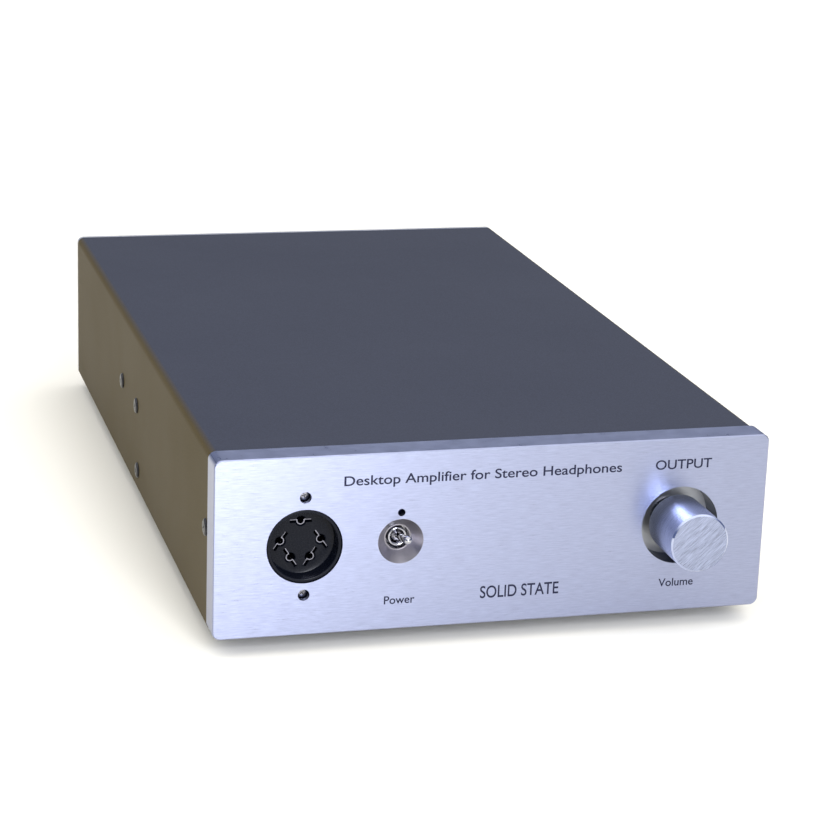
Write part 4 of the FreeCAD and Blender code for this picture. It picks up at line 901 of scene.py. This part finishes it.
# ---- screws
def cross_cutter(reach, depth, top):
    """The tapered cross of a screwdriver, for the recess in a screw's head."""
    blade = 0.36 * reach
    bars = []
    for size in ((2 * reach, blade, 2 * depth), (blade, 2 * reach, 2 * depth)):
        bar = block("blade", size, (0, 0, top))
        edit_where(bar, "FACE", lambda face: face.normal.z < -0.9)
        bpy.ops.transform.resize(value=(0.5, 0.5, 1), center_override=(0, 0, top - depth))
        leave_edit()
        bars.append(bar)
    carve(bars[0], bars[1], "UNION")
    return bars[0]


def cross_screw(name, shank, long, head, crown, dome):
    """A screw with its head above the origin; dome is the share of the head that is rounded."""
    edge = crown * dome
    steps = [(-long, 0.8 * shank), (0.2 * shank - long, shank), (0, shank), (0, 0.96 * head),
             (0.04 * head, head)]
    for i in range(9):
        a = math.radians(10 * i)
        steps.append((crown - edge + edge * math.sin(a),
                      head - (head * 0.5 * dome) * (1 - math.cos(a))))
    screw = turned(name, steps)
    carve(screw, cross_cutter(0.6 * head, 0.55 * crown, crown))
    return settle(screw, 35)


def axis_seats(boxes, y, spin=0.0, step=0.0):
    """Places facing back on the axes of round solids, each spun a step further."""
    return [(((a.x + b.x) / 2, y, (a.z + b.z) / 2), BACK, spin + step * number)
            for number, (a, b) in enumerate(boxes)]


def make_sunk_screws(s):
    """Cheese heads in the two deep holes above and below the socket."""
    boxes, start, end = repeated("socket_screws")
    screw = cross_screw("socket_screw", 0.55 * s.sunk_head, end.y - start.y - s.sunk_crown,
                        s.sunk_head, s.sunk_crown, 0.25)
    seats = [((a.x + s.sunk_head, a.y + s.sunk_crown, (a.z + b.z) / 2), FRONT, spin)
             for (a, b), spin in zip(boxes, (0.65, 0.2))]
    finished_copies(screw, "socket_screw", "steel_screw", "socket_screws", seats)


class AMPLIFIER_OT_case_screws(bpy.types.Operator):
    """Put crowned cross-head screws in the sides, the rear panel and the mains inlet"""
    bl_idname = "amplifier.case_screws"
    bl_label = "Case screws"

    def execute(self, context):
        s = context.scene.amplifier_screws
        for node in ("cover_screws", "heatsink_screws"):
            make_side_screws(node, s)
        for node in ("rear_panel_screws", "inlet_screws"):
            make_rear_screws(node, s)
        return {"FINISHED"}


def make_side_screws(node, s):
    """Low crowned heads on both sides of the cover."""
    boxes, start, end = repeated(node)
    inside = end.x - start.x - s.side_crown
    screw = cross_screw(node, 0.52 * s.side_head, inside, s.side_head, s.side_crown, 0.75)
    seats = []
    for number, (a, b) in enumerate(boxes):
        side = -1 if a.x < 0 else 1
        seats.append(((side * SIDE_X, (a.y + b.y) / 2, (a.z + b.z) / 2),
                      LEFT if side < 0 else RIGHT, 0.5 + 0.8 * number))
    finished_copies(screw, node[:-1], "black_screw", node, seats)


def make_rear_screws(node, s):
    """Domed heads on the back."""
    boxes, start, end = repeated(node)
    seat_y = end.y - s.pan_crown
    screw = cross_screw(node, 0.5 * s.pan_head, seat_y - start.y, s.pan_head, s.pan_crown, 0.7)
    finished_copies(screw, node[:-1], SLOT_OF[node], node, axis_seats(boxes, seat_y, 0.4, 0.9))


# ---- rear connectors
class AMPLIFIER_OT_rear(bpy.types.Operator):
    """Make the signal jacks with their nuts, and the mains inlet with its blades"""
    bl_idname = "amplifier.rear"
    bl_label = "Rear connectors"

    def execute(self, context):
        s = context.scene.amplifier_rear
        make_jack_shells(s)
        for node in ("phono_inserts_left", "phono_inserts_right"):
            make_jack_inserts(node, s)
        make_jack_nuts(s)
        make_inlet(s)
        make_blades(s)
        return {"FINISHED"}


def make_jack_shells(s):
    """Barrel with a rolled lip, a thicker threaded stretch, and the collar inside the case."""
    boxes, start, end = repeated("phono_shells")
    panel_in, panel_out = low("rear_panel").y - start.y, high("rear_panel").y - start.y
    long = end.y - start.y
    thread_end = panel_out + s.nut
    thread = (high("phono_nuts").z - low("phono_nuts").z) / 2 - s.nut_wall
    lip = (s.barrel - s.barrel_bore) / 2
    steps = [(0, s.barrel_bore), (0, s.collar), (panel_in, s.collar), (panel_in, thread),
             (thread_end, thread), (thread_end, s.barrel)]
    steps += arc(long - lip, s.barrel - lip, lip, 0, 180, 8)
    shell = ring("phono_shell", steps)
    finished_copies(shell, "phono_shell", "brass_plated", "phono_shells",
                    axis_seats(boxes, start.y))


def make_jack_inserts(node, s):
    """Coloured insulator, dished towards the hole for the plug's pin."""
    boxes, start, end = repeated(node)
    long = end.y - start.y
    fit = s.barrel_bore - 0.05 * MM
    collar_y = low("phono_shells").y - start.y
    pin_end = high("phono_contacts").y - start.y
    edge = 0.4 * MM
    steps = [(0, s.contact_bore), (0, s.barrel), (collar_y, s.barrel), (collar_y, fit),
             (long - edge, fit), (long, fit - edge), (long, s.pin_bore + edge),
             (long - edge, s.pin_bore), (pin_end, s.pin_bore), (pin_end, s.contact_bore)]
    insert = ring(node, steps)
    finished_copies(insert, node, SLOT_OF[node], node, axis_seats(boxes, start.y))


def make_jack_nuts(s):
    """Hexagonal nuts with their corners turned off."""
    boxes, start, end = repeated("phono_nuts")
    thick = end.y - start.y
    across = (end.x - start.x) / 2
    nut = add_circle("phono_nut", across, 0, 6, "NGON")
    draw_out(nut, [(thick, across)], (0, across))
    flats = across * math.cos(math.pi / 6)
    drop = (across - flats) * 0.6
    cone = turned("corner_cone", [(-GAP, across * 1.1), (thick - drop, across * 1.02),
                                  (thick + GAP, flats * 0.97)])
    carve(nut, cone, "INTERSECT")
    thread = (high("phono_nuts").z - low("phono_nuts").z) / 2 - s.nut_wall + s.nut_play
    carve(nut, turned("thread", [(-MM, thread), (thick + MM, thread)]))
    finished_copies(settle(nut, 25), "phono_nut", SLOT_OF["phono_nuts"], "phono_nuts",
                    axis_seats(boxes, start.y))


def inlet_outline(name, width, height, cut, z0, z1):
    """A block with its two upper corners cut off, for the inlet's moulding and its cavity."""
    piece = block(name, (width, height, z1 - z0), (0, 0, (z0 + z1) / 2))
    bevel_corners(piece, cut, 1, 0)
    return piece


def make_inlet(s):
    """Flanged moulding with a cavity that narrows at its upper corners."""
    start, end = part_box("inlet_body")
    axis = middle("inlet_body")
    long = end.y - start.y
    thick = end.y - high("rear_panel").y
    width, height = s.opening
    wall = 2 * s.opening_wall
    flange = block("flange", (end.x - start.x, end.z - start.z, thick), (0, 0, long - thick / 2))
    bevel_corners(flange, s.flange_corner, 8)
    bevel(flange, s.flange_edge, 3, 60)
    body = inlet_outline("inlet_moulding", width + wall, height + wall, s.opening_corner,
                         0, long - 0.2 * MM)
    carve(body, flange, "UNION")
    carve(body, inlet_outline("cavity", width, height, s.opening_corner, long - s.cavity,
                              long + MM))
    for a, b in solids("inlet_screws"):
        hole = turned("screw_hole", [(-MM, s.screw_hole), (long + MM, s.screw_hole)])
        carve(body, seat(hole, (axis.x - (a.x + b.x) / 2, 0, 0)))
    seat(body, (axis.x, start.y, axis.z), BACK)
    finished(settle(body, 25), "root", "inlet_black", "inlet_body")


def make_blades(s):
    """Flat blades with bevelled tips."""
    boxes, start, end = repeated("inlet_pins")
    size = end - start
    blade = block("inlet_blade", (size.x, size.z, size.y), (0, 0, size.y / 2))
    bevel_where(blade, "FACE", lambda face: face.normal.z > 0.9, s.blade_edge, 3)
    finished_copies(settle(blade, 25), "inlet_blade", SLOT_OF["inlet_pins"], "inlet_pins",
                    axis_seats(boxes, start.y))


# ---- feet
class AMPLIFIER_OT_feet(bpy.types.Operator):
    """Turn the four tapered rubber feet, each with a well for its screw"""
    bl_idname = "amplifier.feet"
    bl_label = "Feet"

    def execute(self, context):
        s = context.scene.amplifier_feet
        boxes, start, end = repeated("feet")
        top = (end.x - start.x) / 2
        tall = end.z - start.z
        steps = [(tall, s.hole), (tall, top - s.top_edge), (tall - s.top_edge, top)]
        foot_at = top - s.taper * (tall - s.edge) / tall
        steps += arc(s.edge, foot_at - s.edge, s.edge, 0, -90)
        steps += [(0, s.well + s.edge), (0.3 * s.edge, s.well), (s.well_depth, s.well),
                  (s.well_depth, s.hole)]
        foot = ring("foot", steps)
        seats = [(((a.x + b.x) / 2, (a.y + b.y) / 2, a.z), UP, 0.0) for a, b in boxes]
        finished_copies(foot, "foot", "foot_rubber", "feet", seats)
        return {"FINISHED"}


# ---- lettering
class AMPLIFIER_OT_lettering(bpy.types.Operator):
    """Print plain words on the front panel"""
    bl_idname = "amplifier.lettering"
    bl_label = "Lettering"

    def execute(self, context):
        s = context.scene.amplifier_lettering
        lever, knob = LEVER_PIVOT.x, middle("volume_knob").x
        title = PANEL_LOW.x + s.title_left + s.title_width / 2
        for name, text, capital, x, base, width in (
                ("label_power", s.switch, s.label_height, lever, s.label_base, None),
                ("label_volume", s.volume, s.label_height, knob, s.label_base, None),
                ("title", s.title, s.title_height, title, s.title_base, s.title_width),
                ("knob_heading", s.level, s.title_height, knob, s.title_base, s.level_width),
                ("plain_mark", s.kind, s.kind_height, PANEL_LOW.x + s.kind_at, s.label_base,
                 s.kind_width)):
            print_words(name, text, capital, (x, PANEL_LOW.z + base), s, width)
        return {"FINISHED"}


CAPITAL_SHARE = 0.70     # capital height over the size of the built-in letters
BOLDNESS = 0.016         # how much the letters are thickened, over the capital height


def print_words(name, text, capital, at, s, width):
    """Thin raised letters on the panel's face, centred on x and standing on a base line."""
    clear_selection()
    bpy.ops.object.text_add()
    letters = named(name).data
    letters.body = text
    letters.align_x = "CENTER"
    letters.size = capital / CAPITAL_SHARE
    letters.extrude = s.thickness / 2
    letters.offset = BOLDNESS * capital
    bpy.ops.object.convert(target="MESH")
    piece = bpy.context.object
    if width:
        piece.scale = (width / piece.dimensions.x, 1, 1)
    seat(piece, (at[0], FACE_Y - s.thickness / 2, at[1]), FRONT)
    settle(piece, 30)
    piece.data.materials.clear()
    piece.data.materials.append(MATERIALS.get("panel_ink") or make_ink(s))
    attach(piece, "root")


def make_ink(s):
    f = Finish("panel_ink", s.ink, 0.0, 0.7, Specular_IOR_Level=0.15)
    f.tint(f.even(1500), 0.8, 1.3)
    return f.material


# ---- stage
class AMPLIFIER_OT_stage(bpy.types.Operator):
    """Put the object on a pale floor, with soft light and a camera"""
    bl_idname = "amplifier.stage"
    bl_label = "Floor, light and camera"

    def execute(self, context):
        s = context.scene.amplifier_stage
        make_floor(s)
        make_sky(context.scene, s)
        make_light(s)
        make_camera(context.scene, s)
        return {"FINISHED"}


FLOOR_SIZE = 60                      # metres
SKY_FROM, SKY_TO = 0.25, 0.85        # heights on the dome where its light starts and stops to grow
SKY_HORIZON = (0.12, 0.145, 0.22)
SKY_ZENITH = (1.0, 1.0, 1.0)
STRIP_AT = Vector((0.01, -1.0, 0.36))
STRIP_SIZE = (0.20, 0.60)
STRIP_TONE = (0.90, 0.93, 1.0)
SENSOR = 36                          # the camera's width of film in millimetres


def make_floor(s):
    clear_selection()
    bpy.ops.mesh.primitive_plane_add(size=FLOOR_SIZE)
    floor = named("floor")
    f = Finish("floor_surface", s.floor, 0.0, 0.85, Specular_IOR_Level=0.1)
    f.tint(f.even(3, 2), 0.995, 1.005)
    floor.data.materials.append(f.material)


def make_sky(scene, s):
    """A dome that is bright overhead and dimmer towards the horizon."""
    world = bpy.data.worlds.new("studio")
    scene.world = world
    world.use_nodes = True
    nodes, links = world.node_tree.nodes, world.node_tree.links
    where = nodes.new("ShaderNodeTexCoord")
    split = nodes.new("ShaderNodeSeparateXYZ")
    ramp = nodes.new("ShaderNodeValToRGB")
    ramp.color_ramp.interpolation = "EASE"
    horizon, zenith = ramp.color_ramp.elements
    horizon.position, zenith.position = SKY_FROM, SKY_TO
    horizon.color, zenith.color = (*SKY_HORIZON, 1), (*SKY_ZENITH, 1)
    links.new(where.outputs["Generated"], split.inputs["Vector"])
    links.new(split.outputs["Z"], ramp.inputs["Fac"])
    links.new(ramp.outputs["Color"], nodes["Background"].inputs["Color"])
    nodes["Background"].inputs["Strength"].default_value = s.sky


def make_light(s):
    """A tall soft light in front of the panel."""
    clear_selection()
    bpy.ops.object.light_add(type="AREA", location=STRIP_AT)
    light = named("front_strip")
    light.data.shape = "RECTANGLE"
    light.data.size, light.data.size_y = STRIP_SIZE
    light.data.energy = s.strip
    light.data.color = STRIP_TONE
    aim = Vector((0, FACE_Y, CONTROL_Z)) - STRIP_AT
    light.rotation_euler = aim.to_track_quat("-Z", "Y").to_euler()


def make_camera(scene, s):
    clear_selection()
    bpy.ops.object.camera_add(location=s.camera_place)
    camera = named("camera")
    level = math.cos(s.drop)
    sight = Vector((math.sin(s.azimuth) * level, math.cos(s.azimuth) * level,
                    -math.sin(s.drop)))
    camera.rotation_mode = "QUATERNION"
    camera.rotation_quaternion = (sight.to_track_quat("-Z", "Y")
                                  @ Quaternion((0, 0, 1), s.roll))
    camera.data.sensor_width = SENSOR
    camera.data.lens = s.lens
    scene.camera = camera
    scene.view_settings.view_transform = "Standard"


# ---- add-on
SETTINGS = {
    "amplifier_case": CaseSettings,
    "amplifier_knob": KnobSettings,
    "amplifier_switch": SwitchSettings,
    "amplifier_socket": SocketSettings,
    "amplifier_screws": ScrewSettings,
    "amplifier_rear": RearSettings,
    "amplifier_feet": FootSettings,
    "amplifier_lettering": LetteringSettings,
    "amplifier_stage": StageSettings,
}
OPERATORS = (AMPLIFIER_OT_finishes, AMPLIFIER_OT_knob, AMPLIFIER_OT_switch,
             AMPLIFIER_OT_socket, AMPLIFIER_OT_case_screws, AMPLIFIER_OT_rear,
             AMPLIFIER_OT_feet, AMPLIFIER_OT_lettering, AMPLIFIER_OT_stage)


class AMPLIFIER_PT_build(bpy.types.Panel):
    """Lists the steps in the order in which they are made"""
    bl_label = "Headphone amplifier"
    bl_idname = "AMPLIFIER_PT_build"
    bl_space_type = "VIEW_3D"
    bl_region_type = "UI"
    bl_category = "Amplifier"

    def draw(self, context):
        for operator in OPERATORS:
            self.layout.operator(operator.bl_idname)


def register():
    for name, settings in SETTINGS.items():
        bpy.utils.register_class(settings)
        setattr(bpy.types.Scene, name, bpy.props.PointerProperty(type=settings))
    for operator in OPERATORS:
        bpy.utils.register_class(operator)
    bpy.utils.register_class(AMPLIFIER_PT_build)


def unregister():
    bpy.utils.unregister_class(AMPLIFIER_PT_build)
    for operator in reversed(OPERATORS):
        bpy.utils.unregister_class(operator)
    for name, settings in SETTINGS.items():
        delattr(bpy.types.Scene, name)
        bpy.utils.unregister_class(settings)


def main():
    register()
    bpy.ops.amplifier.finishes()
    bpy.ops.amplifier.knob()
    bpy.ops.amplifier.switch()
    bpy.ops.amplifier.socket()
    bpy.ops.amplifier.case_screws()
    bpy.ops.amplifier.rear()
    bpy.ops.amplifier.feet()
    bpy.ops.amplifier.lettering()
    bpy.ops.amplifier.stage()


if __name__ == "__main__":
    main()
